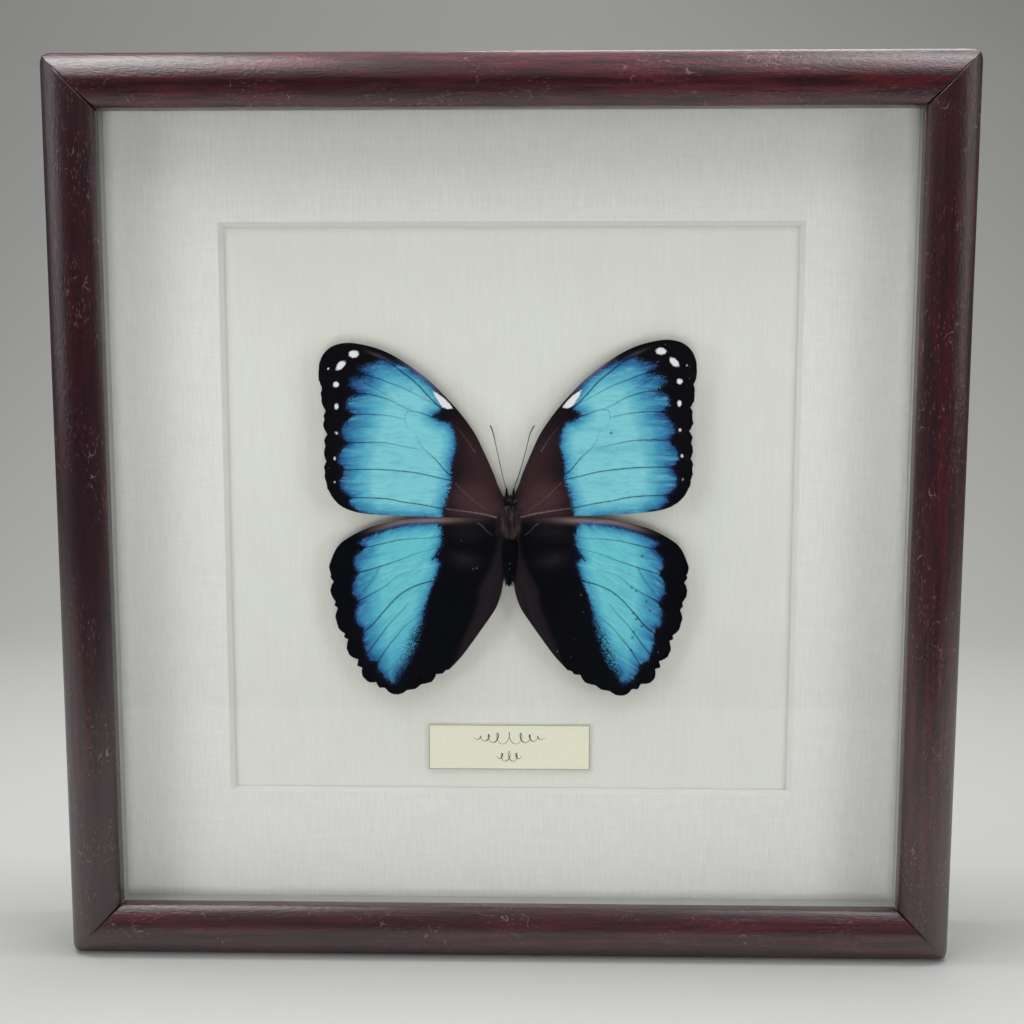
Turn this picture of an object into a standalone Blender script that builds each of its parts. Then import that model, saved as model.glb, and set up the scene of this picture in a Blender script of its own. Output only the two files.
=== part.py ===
"""A butterfly specimen under glass in a small square wooden box frame.

Metres, +Z up. The frame stands on its flat lower edge with its front facing -Y.
The origin is the middle of the underside. Depths are measured back from the
frontmost line of the rails, so depth 0 is y = -FRAME_DEPTH / 2.
"""

import math

import bmesh
import bpy
from mathutils import Matrix, Vector

# Frame
FRAME_SIZE = 0.250
FRAME_DEPTH = 0.029
RAIL_WIDTH = 0.0145
CROWN_INSET = 0.008
OUTER_FALL = 0.0045
INNER_FALL = 0.0038
SIGHT_EDGE = 0.0027
RABBET_WIDTH = 0.0062
CORNER_RADIUS = 0.004
MITRE_GAP = 0.0003
CLEARANCE = 0.0003

# Stack behind the glass
GLASS_THICKNESS = 0.002
SPACER_DEPTH = 0.0064
SPACER_SETBACK = 0.0023
MAT_THICKNESS = 0.0014
MAT_BEVEL = 0.0012
WINDOW_SIZE = 0.1617
WINDOW_SHIFT = Vector((0.0005, 0.0, 0.0007))
BACKING_THICKNESS = 0.003
PANEL_THICKNESS = 0.0025

# Fixings on the back
POINT_LENGTH = 0.010
POINT_WIDTH = 0.006
POINT_THICKNESS = 0.0005
POINT_BITE = 0.004
POINT_OFFSET = 0.055
HANGER_WIDTH = 0.030
HANGER_HEIGHT = 0.022
HANGER_PLATE = 0.0009
HANGER_RISE = 0.0022
HANGER_DROP = 0.018
HANGER_FOOT = 0.0066
HANGER_RAMP = 0.0018
KEYHOLE_WIDE = 0.0042
KEYHOLE_NARROW = 0.0022
KEYHOLE_FALL = 0.003
KEYHOLE_RISE = 0.006
KEYHOLE_STEPS = 16
RIVET_RADIUS = 0.002
RIVET_RISE = 0.001
RIVET_RINGS = 4
RIVET_SIDES = 16

# Specimen
LABEL_SIZE = (0.0473, 0.0136)
LABEL_THICKNESS = 0.00025
LABEL_DROP = 0.0679
LABEL_X = 0.0003
WINGS_X = 0.0001
FOREWING_DEPTH = 0.0124
HINDWING_DEPTH = 0.0133
WING_THICKNESS = 0.00035
# The right forewing is set a little higher than the left: degrees about the wing root.
FOREWING_TILT = 0.6
FOREWING_ROOT = (3.0, 3.0)
BODY_X = 0.0006
BODY_DEPTH = 0.0131
ANTENNA_DIAMETER = 0.0004
ANTENNA_TIP_GROWTH = 1.5
PAD_SIZE = (0.004, 0.007)
PAD_DROP = 0.0015
PAD_CORNER = 0.001

HALF = FRAME_SIZE / 2
MIDDLE = Vector((0.0, 0.0, HALF))
FRONT = -FRAME_DEPTH / 2
SIGHT_HALF = HALF - RAIL_WIDTH
RABBET_HALF = SIGHT_HALF + RABBET_WIDTH
FITTED_HALF = RABBET_HALF - CLEARANCE
LIP_BACK = INNER_FALL + SIGHT_EDGE
GLASS_TOP = LIP_BACK + CLEARANCE
SPACER_TOP = GLASS_TOP + GLASS_THICKNESS + CLEARANCE
MAT_TOP = SPACER_TOP + SPACER_DEPTH + CLEARANCE
BACKING_TOP = MAT_TOP + MAT_THICKNESS + CLEARANCE
PANEL_TOP = BACKING_TOP + BACKING_THICKNESS + CLEARANCE
PANEL_BACK = PANEL_TOP + PANEL_THICKNESS
POINT_TOP = PANEL_BACK + CLEARANCE

ROUND_STEPS = 10
CORNER_STEPS = 8

# Half outlines in millimetres from the wings' centre line, x outward and z up.
FOREWING_COSTA = [
    (3.2, 5.0), (2.8, 8.4), (4.0, 12.4), (6.9, 19.1), (9.3, 24.0), (13.1, 29.4),
    (17.9, 34.9), (23.0, 39.8), (30.0, 44.8), (35.6, 47.6), (41.2, 49.1), (45.2, 49.4),
    (48.8, 48.5), (51.3, 46.4), (52.6, 43.6),
]
FOREWING_MARGIN = [
    (52.6, 43.6), (52.8, 40.4), (52.5, 36.0), (52.1, 31.0), (51.9, 25.5), (51.9, 19.3),
    (52.0, 13.0), (51.4, 9.0), (50.1, 6.6), (48.4, 4.6), (46.2, 3.0),
]
FOREWING_INNER = [
    (46.2, 3.0), (42.8, 1.9), (37.4, 1.2), (30.0, 0.8), (20.0, 0.4), (10.0, 0.1), (3.8, -0.4),
]
HINDWING_COSTA = [
    (4.0, -1.5), (10.0, 0.2), (18.0, 0.5), (24.0, 0.2), (30.0, -0.4), (37.7, -2.3),
    (42.4, -4.1), (46.9, -6.7), (48.9, -8.7), (50.1, -11.0),
]
HINDWING_MARGIN = [
    (50.1, -11.0), (51.3, -14.6), (51.1, -18.5), (50.7, -22.4), (50.0, -27.0), (49.0, -31.2),
    (47.5, -35.3), (45.8, -39.5), (43.9, -43.4), (41.4, -46.8), (38.0, -49.3), (33.6, -51.1),
    (31.2, -51.2), (27.6, -49.9), (23.4, -48.1), (20.2, -46.4), (17.1, -44.0),
]
HINDWING_INNER = [
    (17.1, -44.0), (13.5, -40.1), (10.8, -36.5), (8.2, -32.8), (5.4, -28.8), (3.4, -25.6),
    (2.1, -21.9), (1.7, -18.2), (2.2, -15.0), (2.6, -11.0), (2.8, -7.4), (3.4, -4.4), (4.0, -1.5),
]
# Notches in the outer margin: distance along it from its front corner, and depth, in millimetres.
FOREWING_NOTCHES = [
    (6.7, 0.7), (9.1, 0.25), (13.0, 1.0), (15.3, 0.45), (19.6, 1.05),
    (22.8, 0.5), (27.2, 0.75), (30.3, 0.4), (33.4, 0.5), (36.0, 0.35),
]
HINDWING_NOTCHES = [
    (5.5, 0.7), (7.7, 1.1), (13.6, 1.0), (15.7, 1.3), (23.6, 1.1), (25.5, 1.4), (32.2, 1.8),
    (34.9, 1.5), (41.5, 1.3), (44.5, 1.0), (52.0, 0.6), (56.5, 0.6), (61.8, 1.3),
]
NOTCH_REACH = 2.4
NOTCH_SHARPNESS = 1.4
# How many steps each stretch of an outline takes.
FOREWING_STEPS = (30, 48, 12)
HINDWING_STEPS = (18, 72, 20)

# Body stations in millimetres: height, sideways shift, half width, half depth.
BODY_STATIONS = [
    (8.2, 0.0, 0.5, 0.5), (7.4, 0.0, 1.3, 1.3), (6.0, 0.0, 1.9, 1.7), (4.6, 0.1, 1.8, 1.7),
    (3.6, 0.1, 1.6, 1.6), (2.4, 0.2, 2.3, 2.2), (0.6, 0.2, 2.8, 2.8), (-1.8, 0.2, 2.9, 3.0),
    (-4.2, 0.1, 2.4, 2.6), (-5.8, 0.1, 1.7, 1.9), (-7.4, 0.0, 1.8, 1.9), (-11.0, 0.0, 1.8, 1.8),
    (-15.0, -0.1, 1.5, 1.5), (-18.0, -0.3, 0.9, 1.0), (-19.7, -0.4, 0.2, 0.3),
]
BODY_SIDES = 20
# Antenna centre lines in millimetres from the wings' centre line, head to tip.
ANTENNA_LEFT = [(-0.7, 8.7), (-1.5, 11.3), (-2.5, 15.8), (-3.5, 20.3), (-4.3, 23.9), (-5.1, 26.1)]
ANTENNA_RIGHT = [(1.7, 8.7), (2.6, 11.3), (4.1, 16.1), (5.2, 20.3), (6.1, 23.9), (7.3, 26.1)]
ANTENNA_STEPS = 14

MM = 0.001


def clear_scene():
    for old in list(bpy.data.objects):
        bpy.data.objects.remove(old)


def finish_of(name, colour, roughness, metallic=0.0):
    material = bpy.data.materials.new(name)
    material.use_nodes = True
    shader = material.node_tree.nodes["Principled BSDF"]
    shader.inputs["Base Color"].default_value = (*colour, 1.0)
    shader.inputs["Roughness"].default_value = roughness
    shader.inputs["Metallic"].default_value = metallic
    return material


def add_object(name, shape, material, smooth_angle=None):
    """Turns a bmesh into a named object, with its faces pointing out."""
    bmesh.ops.recalc_face_normals(shape, faces=shape.faces)
    mesh = bpy.data.meshes.new(name)
    shape.to_mesh(mesh)
    shape.free()
    if smooth_angle is not None:
        mesh.shade_smooth()
        mesh.set_sharp_from_angle(angle=math.radians(smooth_angle))
    if material is not None:
        mesh.materials.append(material)
    made = bpy.data.objects.new(name, mesh)
    bpy.context.scene.collection.objects.link(made)
    return made


def hide_cutter(cutter):
    cutter.hide_render = True
    cutter.display_type = "WIRE"


def cut(target, cutter, operation):
    modifier = target.modifiers.new(cutter.name, "BOOLEAN")
    modifier.operation = operation
    modifier.solver = "EXACT"
    modifier.object = cutter


def prism(shape, outline, depth_front, depth_back):
    """Adds an (x, z) outline swept straight back between two depths."""
    front = [shape.verts.new((x, FRONT + depth_front, z)) for x, z in outline]
    back = [shape.verts.new((x, FRONT + depth_back, z)) for x, z in outline]
    shape.faces.new(front)
    shape.faces.new(reversed(back))
    count = len(outline)
    for i in range(count):
        j = (i + 1) % count
        shape.faces.new((front[j], front[i], back[i], back[j]))


def rectangle(centre_x, centre_z, half_x, half_z):
    return [
        (centre_x - half_x, centre_z - half_z),
        (centre_x + half_x, centre_z - half_z),
        (centre_x + half_x, centre_z + half_z),
        (centre_x - half_x, centre_z + half_z),
    ]


def rounded_rectangle(centre_x, centre_z, half_x, half_z, radius, steps):
    outline = []
    for corner, (sx, sz) in enumerate(((1, 1), (-1, 1), (-1, -1), (1, -1))):
        for step in range(steps + 1):
            angle = math.pi / 2 * (corner + step / steps)
            outline.append((
                centre_x + sx * (half_x - radius) + radius * math.cos(angle),
                centre_z + sz * (half_z - radius) + radius * math.sin(angle),
            ))
    return outline


# ---- Rails: a cushion moulding with a rabbet behind, mitred at the corners ----

def rail_profile():
    """(inset from the outer side, depth) round the moulding's section."""
    section = [(0.0, FRAME_DEPTH)]
    for step in range(ROUND_STEPS + 1):
        angle = math.pi / 2 * step / ROUND_STEPS
        section.append((
            CROWN_INSET * (1 - math.cos(angle)),
            OUTER_FALL * (1 - math.sin(angle)),
        ))
    inner_run = RAIL_WIDTH - CROWN_INSET
    for step in range(1, ROUND_STEPS):
        angle = math.pi / 2 * step / ROUND_STEPS
        section.append((
            CROWN_INSET + inner_run * math.sin(angle),
            INNER_FALL * (1 - math.cos(angle)),
        ))
    section.append((RAIL_WIDTH, INNER_FALL))
    section.append((RAIL_WIDTH, LIP_BACK))
    section.append((RAIL_WIDTH - RABBET_WIDTH, LIP_BACK))
    section.append((RAIL_WIDTH - RABBET_WIDTH, FRAME_DEPTH))
    return section


def make_rail(name, turns, material, corner_block, slot_cutters):
    """One rail, built as the top one and turned about the frame's middle."""
    shape = bmesh.new()
    recede = MITRE_GAP / 2 * math.sqrt(2)
    rings = []
    for side in (-1, 1):
        ring = []
        for inset, depth in rail_profile():
            reach = HALF - inset - recede
            ring.append(shape.verts.new((side * reach, FRONT + depth, HALF - inset)))
        rings.append(ring)
    count = len(rings[0])
    for i in range(count):
        j = (i + 1) % count
        shape.faces.new((rings[0][i], rings[0][j], rings[1][j], rings[1][i]))
    shape.faces.new(rings[0])
    shape.faces.new(reversed(rings[1]))
    turn = Matrix.Rotation(math.radians(90 * turns), 4, "Y")
    shape.transform(Matrix.Translation(MIDDLE) @ turn)
    rail = add_object(name, shape, material, smooth_angle=35)
    cut(rail, corner_block, "INTERSECT")
    for cutter in slot_cutters:
        cut(rail, cutter, "DIFFERENCE")
    return rail


def make_corner_block():
    shape = bmesh.new()
    outline = rounded_rectangle(0.0, HALF, HALF, HALF, CORNER_RADIUS, CORNER_STEPS)
    margin = 0.002
    prism(shape, outline, -margin, FRAME_DEPTH + margin)
    block = add_object("corner_block", shape, None)
    hide_cutter(block)
    return block


# ---- Panes, boards and strips in the rabbet ----

def make_board(name, thickness_top, thickness, material):
    shape = bmesh.new()
    outline = rectangle(0.0, HALF, FITTED_HALF, FITTED_HALF)
    prism(shape, outline, thickness_top, thickness_top + thickness)
    return add_object(name, shape, material)


def make_glass(material):
    """The pane, with its sharp edges taken off."""
    shape = bmesh.new()
    outline = rectangle(0.0, HALF, FITTED_HALF, FITTED_HALF)
    prism(shape, outline, GLASS_TOP, GLASS_TOP + GLASS_THICKNESS)
    bmesh.ops.bevel(shape, geom=shape.edges[:], offset=0.0002, segments=1, affect="EDGES")
    return add_object("glass_pane", shape, material)


def make_spacer(name, centre_x, centre_z, half_x, half_z, material):
    shape = bmesh.new()
    outline = rectangle(centre_x, centre_z, half_x, half_z)
    prism(shape, outline, SPACER_TOP, SPACER_TOP + SPACER_DEPTH)
    return add_object(name, shape, material)


def make_spacers(material):
    """Top and bottom strips run the full width, and the side strips stand between them."""
    half_strip = (FITTED_HALF - SIGHT_HALF - SPACER_SETBACK) / 2
    middle = FITTED_HALF - half_strip
    side_half = FITTED_HALF - 2 * half_strip - CLEARANCE
    make_spacer("spacer_top", 0.0, HALF + middle, FITTED_HALF, half_strip, material)
    make_spacer("spacer_bottom", 0.0, HALF - middle, FITTED_HALF, half_strip, material)
    make_spacer("spacer_left", -middle, HALF, half_strip, side_half, material)
    make_spacer("spacer_right", middle, HALF, half_strip, side_half, material)


def make_mat(material):
    """The mat board, whose window is cut with a bevel that opens to the front."""
    shape = bmesh.new()
    centre = MIDDLE + WINDOW_SHIFT
    back_half = WINDOW_SIZE / 2
    front_half = back_half + MAT_BEVEL
    rings = []
    for (cx, cz, half), depth in (
        ((0.0, HALF, FITTED_HALF), MAT_TOP),
        ((0.0, HALF, FITTED_HALF), MAT_TOP + MAT_THICKNESS),
        ((centre.x, centre.z, back_half), MAT_TOP + MAT_THICKNESS),
        ((centre.x, centre.z, front_half), MAT_TOP),
    ):
        outline = rectangle(cx, cz, half, half)
        rings.append([shape.verts.new((x, FRONT + depth, z)) for x, z in outline])
    for a in range(4):
        b = (a + 1) % 4
        for i in range(4):
            j = (i + 1) % 4
            shape.faces.new((rings[a][i], rings[a][j], rings[b][j], rings[b][i]))
    return add_object("mat_board", shape, material)


# ---- Fixings ----

def point_places():
    """Centre on the rabbet wall and outward direction of each glazier's point."""
    names = (("top", (0, 1)), ("right", (1, 0)), ("bottom", (0, -1)), ("left", (-1, 0)))
    for side, (dx, dz) in names:
        for number, along in enumerate((-POINT_OFFSET, POINT_OFFSET), start=1):
            place = (dx * RABBET_HALF + abs(dz) * along, HALF + dz * RABBET_HALF + abs(dx) * along)
            yield f"{side}_{number}", side, place, (dx, dz)


def point_outline(place, outward, grow):
    """A pointed tab: its tail sits in the rail and its blunt head lies on the back panel."""
    dx, dz = outward
    half = POINT_WIDTH / 2 + grow
    tail = POINT_BITE + grow
    head = POINT_LENGTH - POINT_BITE
    local = [
        (-head, -half), (tail - half / 2, -half), (tail, -half / 3),
        (tail, half / 3), (tail - half / 2, half), (-head, half),
    ]
    cx, cz = place
    return [(cx + dx * a - dz * b, cz + dz * a + dx * b) for a, b in local]


def make_points(material):
    """The steel points, and for each rail the cutters of the slots that they bite into."""
    cutters = {"top": [], "right": [], "bottom": [], "left": []}
    for label, side, place, outward in point_places():
        shape = bmesh.new()
        prism(shape, point_outline(place, outward, 0.0), POINT_TOP, POINT_TOP + POINT_THICKNESS)
        add_object(f"glazier_point_{label}", shape, material)
        slot = bmesh.new()
        outline = point_outline(place, outward, CLEARANCE)
        prism(slot, outline, POINT_TOP - CLEARANCE, POINT_TOP + POINT_THICKNESS + CLEARANCE)
        cutter = add_object(f"slot_{label}", slot, None)
        hide_cutter(cutter)
        cutters[side].append(cutter)
    return cutters


def make_hanger(material):
    """A pressed hanger plate: two feet on the panel and a raised bridge with a nail hole."""
    top = RABBET_HALF + HALF - HANGER_DROP
    base = PANEL_BACK + CLEARANCE
    foot = HANGER_FOOT
    ramp = HANGER_RAMP
    half = HANGER_WIDTH / 2
    raised = base + HANGER_RISE
    under = [
        (-half, base), (-half + foot, base), (-half + foot + ramp, raised),
        (half - foot - ramp, raised), (half - foot, base), (half, base),
    ]
    over = [(x, depth + HANGER_PLATE) for x, depth in reversed(under)]
    section = under + over
    shape = bmesh.new()
    low = [shape.verts.new((x, FRONT + d, top - HANGER_HEIGHT / 2)) for x, d in section]
    high = [shape.verts.new((x, FRONT + d, top + HANGER_HEIGHT / 2)) for x, d in section]
    count = len(section)
    for i in range(count):
        j = (i + 1) % count
        shape.faces.new((low[i], low[j], high[j], high[i]))
    shape.faces.new(low)
    shape.faces.new(reversed(high))
    plate = add_object("hanger_plate", shape, material)
    hole = bmesh.new()
    outline = keyhole(top - KEYHOLE_FALL, top + KEYHOLE_RISE, KEYHOLE_WIDE, KEYHOLE_NARROW)
    prism(hole, outline, base - HANGER_PLATE, raised + 2 * HANGER_PLATE)
    cutter = add_object("keyhole_cutter", hole, None)
    hide_cutter(cutter)
    cut(plate, cutter, "DIFFERENCE")
    make_rivets(top, base, half - foot / 2, material)
    return plate


def keyhole(low_z, high_z, wide, narrow):
    """A round hole that narrows to a slot above it."""
    start = math.asin(narrow / wide)
    outline = []
    for step in range(KEYHOLE_STEPS + 1):
        angle = math.pi / 2 + start + (2 * math.pi - 2 * start) * step / KEYHOLE_STEPS
        outline.append((wide * math.cos(angle), low_z + wide * math.sin(angle)))
    for step in range(KEYHOLE_STEPS // 2 + 1):
        angle = math.pi * step / (KEYHOLE_STEPS // 2)
        outline.append((narrow * math.cos(angle), high_z + narrow * math.sin(angle)))
    return outline


def make_rivets(height, base, reach, material):
    """The two rivets' domed heads, one on each foot."""
    for name, side in (("hanger_rivet_left", -1), ("hanger_rivet_right", 1)):
        shape = bmesh.new()
        depth = FRONT + base + HANGER_PLATE + CLEARANCE
        rings = []
        for step in range(RIVET_RINGS):
            angle = math.pi / 2 * step / RIVET_RINGS
            ring = []
            for k in range(RIVET_SIDES):
                turn = 2 * math.pi * k / RIVET_SIDES
                ring.append(shape.verts.new((
                    side * reach + RIVET_RADIUS * math.cos(angle) * math.cos(turn),
                    depth + RIVET_RISE * math.sin(angle),
                    height + RIVET_RADIUS * math.cos(angle) * math.sin(turn),
                )))
            rings.append(ring)
        for lower, upper in zip(rings, rings[1:]):
            for k in range(RIVET_SIDES):
                n = (k + 1) % RIVET_SIDES
                shape.faces.new((lower[k], lower[n], upper[n], upper[k]))
        shape.faces.new(rings[0])
        shape.faces.new(rings[-1])
        add_object(name, shape, material, smooth_angle=40)


# ---- Specimen ----

def smooth_line(points, steps):
    """A Catmull-Rom line through the points, with the ends kept."""
    ends = [points[0]] + list(points) + [points[-1]]
    line = []
    for i in range(1, len(ends) - 2):
        p0, p1, p2, p3 = (Vector(p) for p in ends[i - 1:i + 3])
        for step in range(steps):
            t = step / steps
            line.append(0.5 * (
                2 * p1 + (p2 - p0) * t + (2 * p0 - 5 * p1 + 4 * p2 - p3) * t * t
                + (3 * p1 - p0 - 3 * p2 + p3) * t ** 3
            ))
    line.append(Vector(points[-1]))
    return line


def even_line(line, count):
    """The same line with count + 1 evenly spaced points."""
    lengths = [0.0]
    for a, b in zip(line, line[1:]):
        lengths.append(lengths[-1] + (b - a).length)
    even = []
    k = 0
    for i in range(count + 1):
        goal = lengths[-1] * i / count
        while k < len(line) - 2 and lengths[k + 1] < goal:
            k += 1
        span = max(lengths[k + 1] - lengths[k], 1e-9)
        even.append(line[k].lerp(line[k + 1], min(1.0, (goal - lengths[k]) / span)))
    return even


def notched(line, notches):
    """The line pushed in at its notches, which narrow to a point."""
    pushed = []
    travelled = 0.0
    for i, point in enumerate(line):
        ahead = line[min(i + 1, len(line) - 1)]
        behind = line[max(i - 1, 0)]
        along = (ahead - behind).normalized()
        inward = Vector((along.y, -along.x))
        push = 0.0
        for place, depth in notches:
            near = max(0.0, 1 - abs(travelled - place) / NOTCH_REACH)
            push = max(push, depth * near ** NOTCH_SHARPNESS)
        pushed.append(point + inward * push)
        travelled += (ahead - point).length
    return pushed


def wing_outline(costa, margin, inner, notches, steps):
    """The closed outline of a right wing in millimetres: front edge, margin, inner edge."""
    leading = even_line(smooth_line(costa, 8), steps[0])
    outer = notched(even_line(smooth_line(margin, 8), steps[1]), notches)
    trailing = even_line(smooth_line(inner, 8), steps[2])
    return leading[:-1] + outer[:-1] + trailing


def tilted(outline, degrees):
    """The outline turned about the forewing's root, tip upward."""
    root = Vector(FOREWING_ROOT)
    turn = Matrix.Rotation(math.radians(degrees), 2)
    return [root + turn @ (point - root) for point in outline]


def make_wing(name, outline, side, depth, material):
    shape = bmesh.new()
    placed = [(WINGS_X + side * p.x * MM, HALF + p.y * MM) for p in outline]
    prism(shape, placed, depth - WING_THICKNESS / 2, depth + WING_THICKNESS / 2)
    return add_object(name, shape, material)


def make_body(material):
    """Head, thorax and abdomen, which are one dried piece."""
    shape = bmesh.new()
    rings = []
    for height, shift, half_width, half_depth in BODY_STATIONS:
        ring = []
        for k in range(BODY_SIDES):
            angle = 2 * math.pi * k / BODY_SIDES
            ring.append(shape.verts.new((
                BODY_X + (shift + half_width * math.cos(angle)) * MM,
                FRONT + BODY_DEPTH + half_depth * MM * math.sin(angle),
                HALF + height * MM,
            )))
        rings.append(ring)
    for upper, lower in zip(rings, rings[1:]):
        for k in range(BODY_SIDES):
            n = (k + 1) % BODY_SIDES
            shape.faces.new((upper[k], upper[n], lower[n], lower[k]))
    shape.faces.new(rings[0])
    shape.faces.new(reversed(rings[-1]))
    return add_object("butterfly_body", shape, material, smooth_angle=60)


def make_antenna(name, points, material):
    curve = bpy.data.curves.new(name, "CURVE")
    curve.dimensions = "3D"
    curve.bevel_depth = ANTENNA_DIAMETER / 2
    curve.bevel_resolution = 2
    curve.use_fill_caps = True
    line = even_line(smooth_line(points, 6), ANTENNA_STEPS)
    spline = curve.splines.new("POLY")
    spline.points.add(len(line) - 1)
    for i, (knot, point) in enumerate(zip(spline.points, line)):
        place = (WINGS_X + point.x * MM, FRONT + FOREWING_DEPTH, HALF + point.y * MM)
        knot.co = (*place, 1.0)
        knot.radius = 1.0 if i < len(line) - 3 else ANTENNA_TIP_GROWTH
    curve.materials.append(material)
    made = bpy.data.objects.new(name, curve)
    bpy.context.scene.collection.objects.link(made)
    return made


def make_label(material):
    shape = bmesh.new()
    outline = rectangle(LABEL_X, HALF - LABEL_DROP, LABEL_SIZE[0] / 2, LABEL_SIZE[1] / 2)
    back = BACKING_TOP - CLEARANCE
    prism(shape, outline, back - LABEL_THICKNESS, back)
    return add_object("label_card", shape, material)


def make_pad(material):
    """The small cork pad that the body is glued to."""
    shape = bmesh.new()
    deepest = max(station[-1] for station in BODY_STATIONS) * MM
    front = BODY_DEPTH + deepest + CLEARANCE
    half_w, half_h = (side / 2 for side in PAD_SIZE)
    outline = rounded_rectangle(BODY_X, HALF - PAD_DROP, half_w, half_h, PAD_CORNER, 4)
    prism(shape, outline, front, BACKING_TOP - CLEARANCE)
    return add_object("cork_pad", shape, material)


clear_scene()

steel = finish_of("galvanised_steel", (0.52, 0.53, 0.54), 0.35, 1.0)
slot_cutters = make_points(steel)
wood = finish_of("mahogany", (0.07, 0.022, 0.026), 0.3)
block = make_corner_block()
for turns, side in enumerate(("top", "right", "bottom", "left")):
    make_rail(f"rail_{side}", turns, wood, block, slot_cutters[side])

make_glass(finish_of("glass", (0.95, 0.97, 0.96), 0.02))
make_spacers(finish_of("spacer_card", (0.50, 0.50, 0.47), 0.8))
make_mat(finish_of("mat_card", (0.60, 0.61, 0.57), 0.85))
backing_card = finish_of("backing_card", (0.66, 0.68, 0.63), 0.85)
make_board("backing_board", BACKING_TOP, BACKING_THICKNESS, backing_card)
hardboard = finish_of("hardboard", (0.30, 0.19, 0.10), 0.7)
make_board("back_panel", PANEL_TOP, PANEL_THICKNESS, hardboard)
make_hanger(steel)

make_label(finish_of("label_paper", (0.70, 0.70, 0.55), 0.8))
make_pad(finish_of("cork", (0.40, 0.24, 0.12), 0.9))
fore = wing_outline(FOREWING_COSTA, FOREWING_MARGIN, FOREWING_INNER, FOREWING_NOTCHES, FOREWING_STEPS)
hind = wing_outline(HINDWING_COSTA, HINDWING_MARGIN, HINDWING_INNER, HINDWING_NOTCHES, HINDWING_STEPS)
blue = finish_of("wing_blue", (0.10, 0.42, 0.55), 0.4)
for side_name, side in (("left", -1), ("right", 1)):
    make_wing(f"forewing_{side_name}", tilted(fore, side * FOREWING_TILT), side, FOREWING_DEPTH, blue)
    make_wing(f"hindwing_{side_name}", hind, side, HINDWING_DEPTH, blue)
chitin = finish_of("body_fur", (0.03, 0.018, 0.016), 0.8)
make_body(chitin)
make_antenna("antenna_left", ANTENNA_LEFT, chitin)
make_antenna("antenna_right", ANTENNA_RIGHT, chitin)
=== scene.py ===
"""A butterfly spread in a deep, glazed wooden frame: the looks of every piece, in metres."""

import math

import bpy
import numpy as np
from mathutils import Matrix, Vector
from mathutils.geometry import delaunay_2d_cdt


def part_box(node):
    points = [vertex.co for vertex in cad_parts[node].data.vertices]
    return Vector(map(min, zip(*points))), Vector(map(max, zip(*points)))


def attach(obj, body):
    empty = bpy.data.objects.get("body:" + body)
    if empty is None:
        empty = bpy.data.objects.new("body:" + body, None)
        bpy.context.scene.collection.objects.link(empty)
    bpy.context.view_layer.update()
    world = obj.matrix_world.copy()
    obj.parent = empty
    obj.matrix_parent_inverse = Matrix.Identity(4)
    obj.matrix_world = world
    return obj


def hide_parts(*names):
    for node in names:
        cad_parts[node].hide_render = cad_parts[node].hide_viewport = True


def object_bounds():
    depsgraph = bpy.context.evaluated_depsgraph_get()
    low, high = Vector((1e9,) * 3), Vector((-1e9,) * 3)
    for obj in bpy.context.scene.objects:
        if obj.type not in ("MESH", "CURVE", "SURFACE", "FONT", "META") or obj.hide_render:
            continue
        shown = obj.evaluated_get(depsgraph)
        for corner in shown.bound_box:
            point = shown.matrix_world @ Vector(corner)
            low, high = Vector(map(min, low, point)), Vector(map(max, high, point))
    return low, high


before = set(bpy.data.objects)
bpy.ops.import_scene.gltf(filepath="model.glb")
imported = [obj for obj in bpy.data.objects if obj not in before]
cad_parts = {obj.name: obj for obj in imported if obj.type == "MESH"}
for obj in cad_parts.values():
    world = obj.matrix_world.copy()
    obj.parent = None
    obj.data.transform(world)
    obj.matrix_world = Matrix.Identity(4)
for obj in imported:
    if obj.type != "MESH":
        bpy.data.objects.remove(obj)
cad_low, cad_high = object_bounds()


# ---- Studio ----
# The frame stands on its lower edge on a pale table that curves up behind it. Two pairs of soft
# lights hang above its ends, with a weaker pair at its sides and one behind. Fills that gloss
# doesn't reflect light the mat and the top rail, and the dim room keeps the glass clear.

HALF = (cad_high.x - cad_low.x) / 2
CENTRE = Vector((0, 0, (cad_high.z + cad_low.z) / 2))
VIEWER_PLACE = (0.006314, -0.300725, 0.154409)
VIEWER_TURN = (84.6928, -0.0653, 1.0053)
VIEWER_LENS = 37.27
TABLE_TONE = (0.45, 0.45, 0.44, 1)
TABLE_HALF_WIDTH = 1.3
TABLE_FRONT = -0.26
SWEEP_START = 0.42
SWEEP_RADIUS = 0.45
SWEEP_HEIGHT = 1.3
SWEEP_STEPS = 12


def make_mesh(name, points, faces, sharp=None):
    """A new mesh object, smooth apart from edges steeper than sharp degrees, or flat with none."""
    shape = bpy.data.meshes.new(name)
    shape.from_pydata([tuple(p) for p in points], [], faces)
    shape.validate()
    if sharp is not None:
        shape.shade_smooth()
        shape.set_sharp_from_angle(angle=math.radians(sharp))
    piece = bpy.data.objects.new(name, shape)
    bpy.context.scene.collection.objects.link(piece)
    return piece


def tube_faces(rings, sides, turned_over=False):
    """The end caps and sides of a tube of rings, turned over where the rings run the other way."""
    last = (rings - 1) * sides
    faces = [tuple(range(sides)), tuple(reversed(range(last, last + sides)))]
    for first in range(0, last, sides):
        for n in range(sides):
            a = first + n
            b = first + (n + 1) % sides
            faces.append((a, a + sides, b + sides, b))
    if turned_over:
        faces = [face[:1] + face[:0:-1] for face in faces]
    return faces


def make_viewer():
    lens = bpy.data.cameras.new("viewer")
    lens.sensor_width = 36
    lens.lens = VIEWER_LENS
    lens.clip_start = 0.01
    viewer = bpy.data.objects.new("viewer", lens)
    viewer.location = VIEWER_PLACE
    viewer.rotation_euler = [math.radians(turn) for turn in VIEWER_TURN]
    bpy.context.scene.collection.objects.link(viewer)
    bpy.context.scene.camera = viewer


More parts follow.
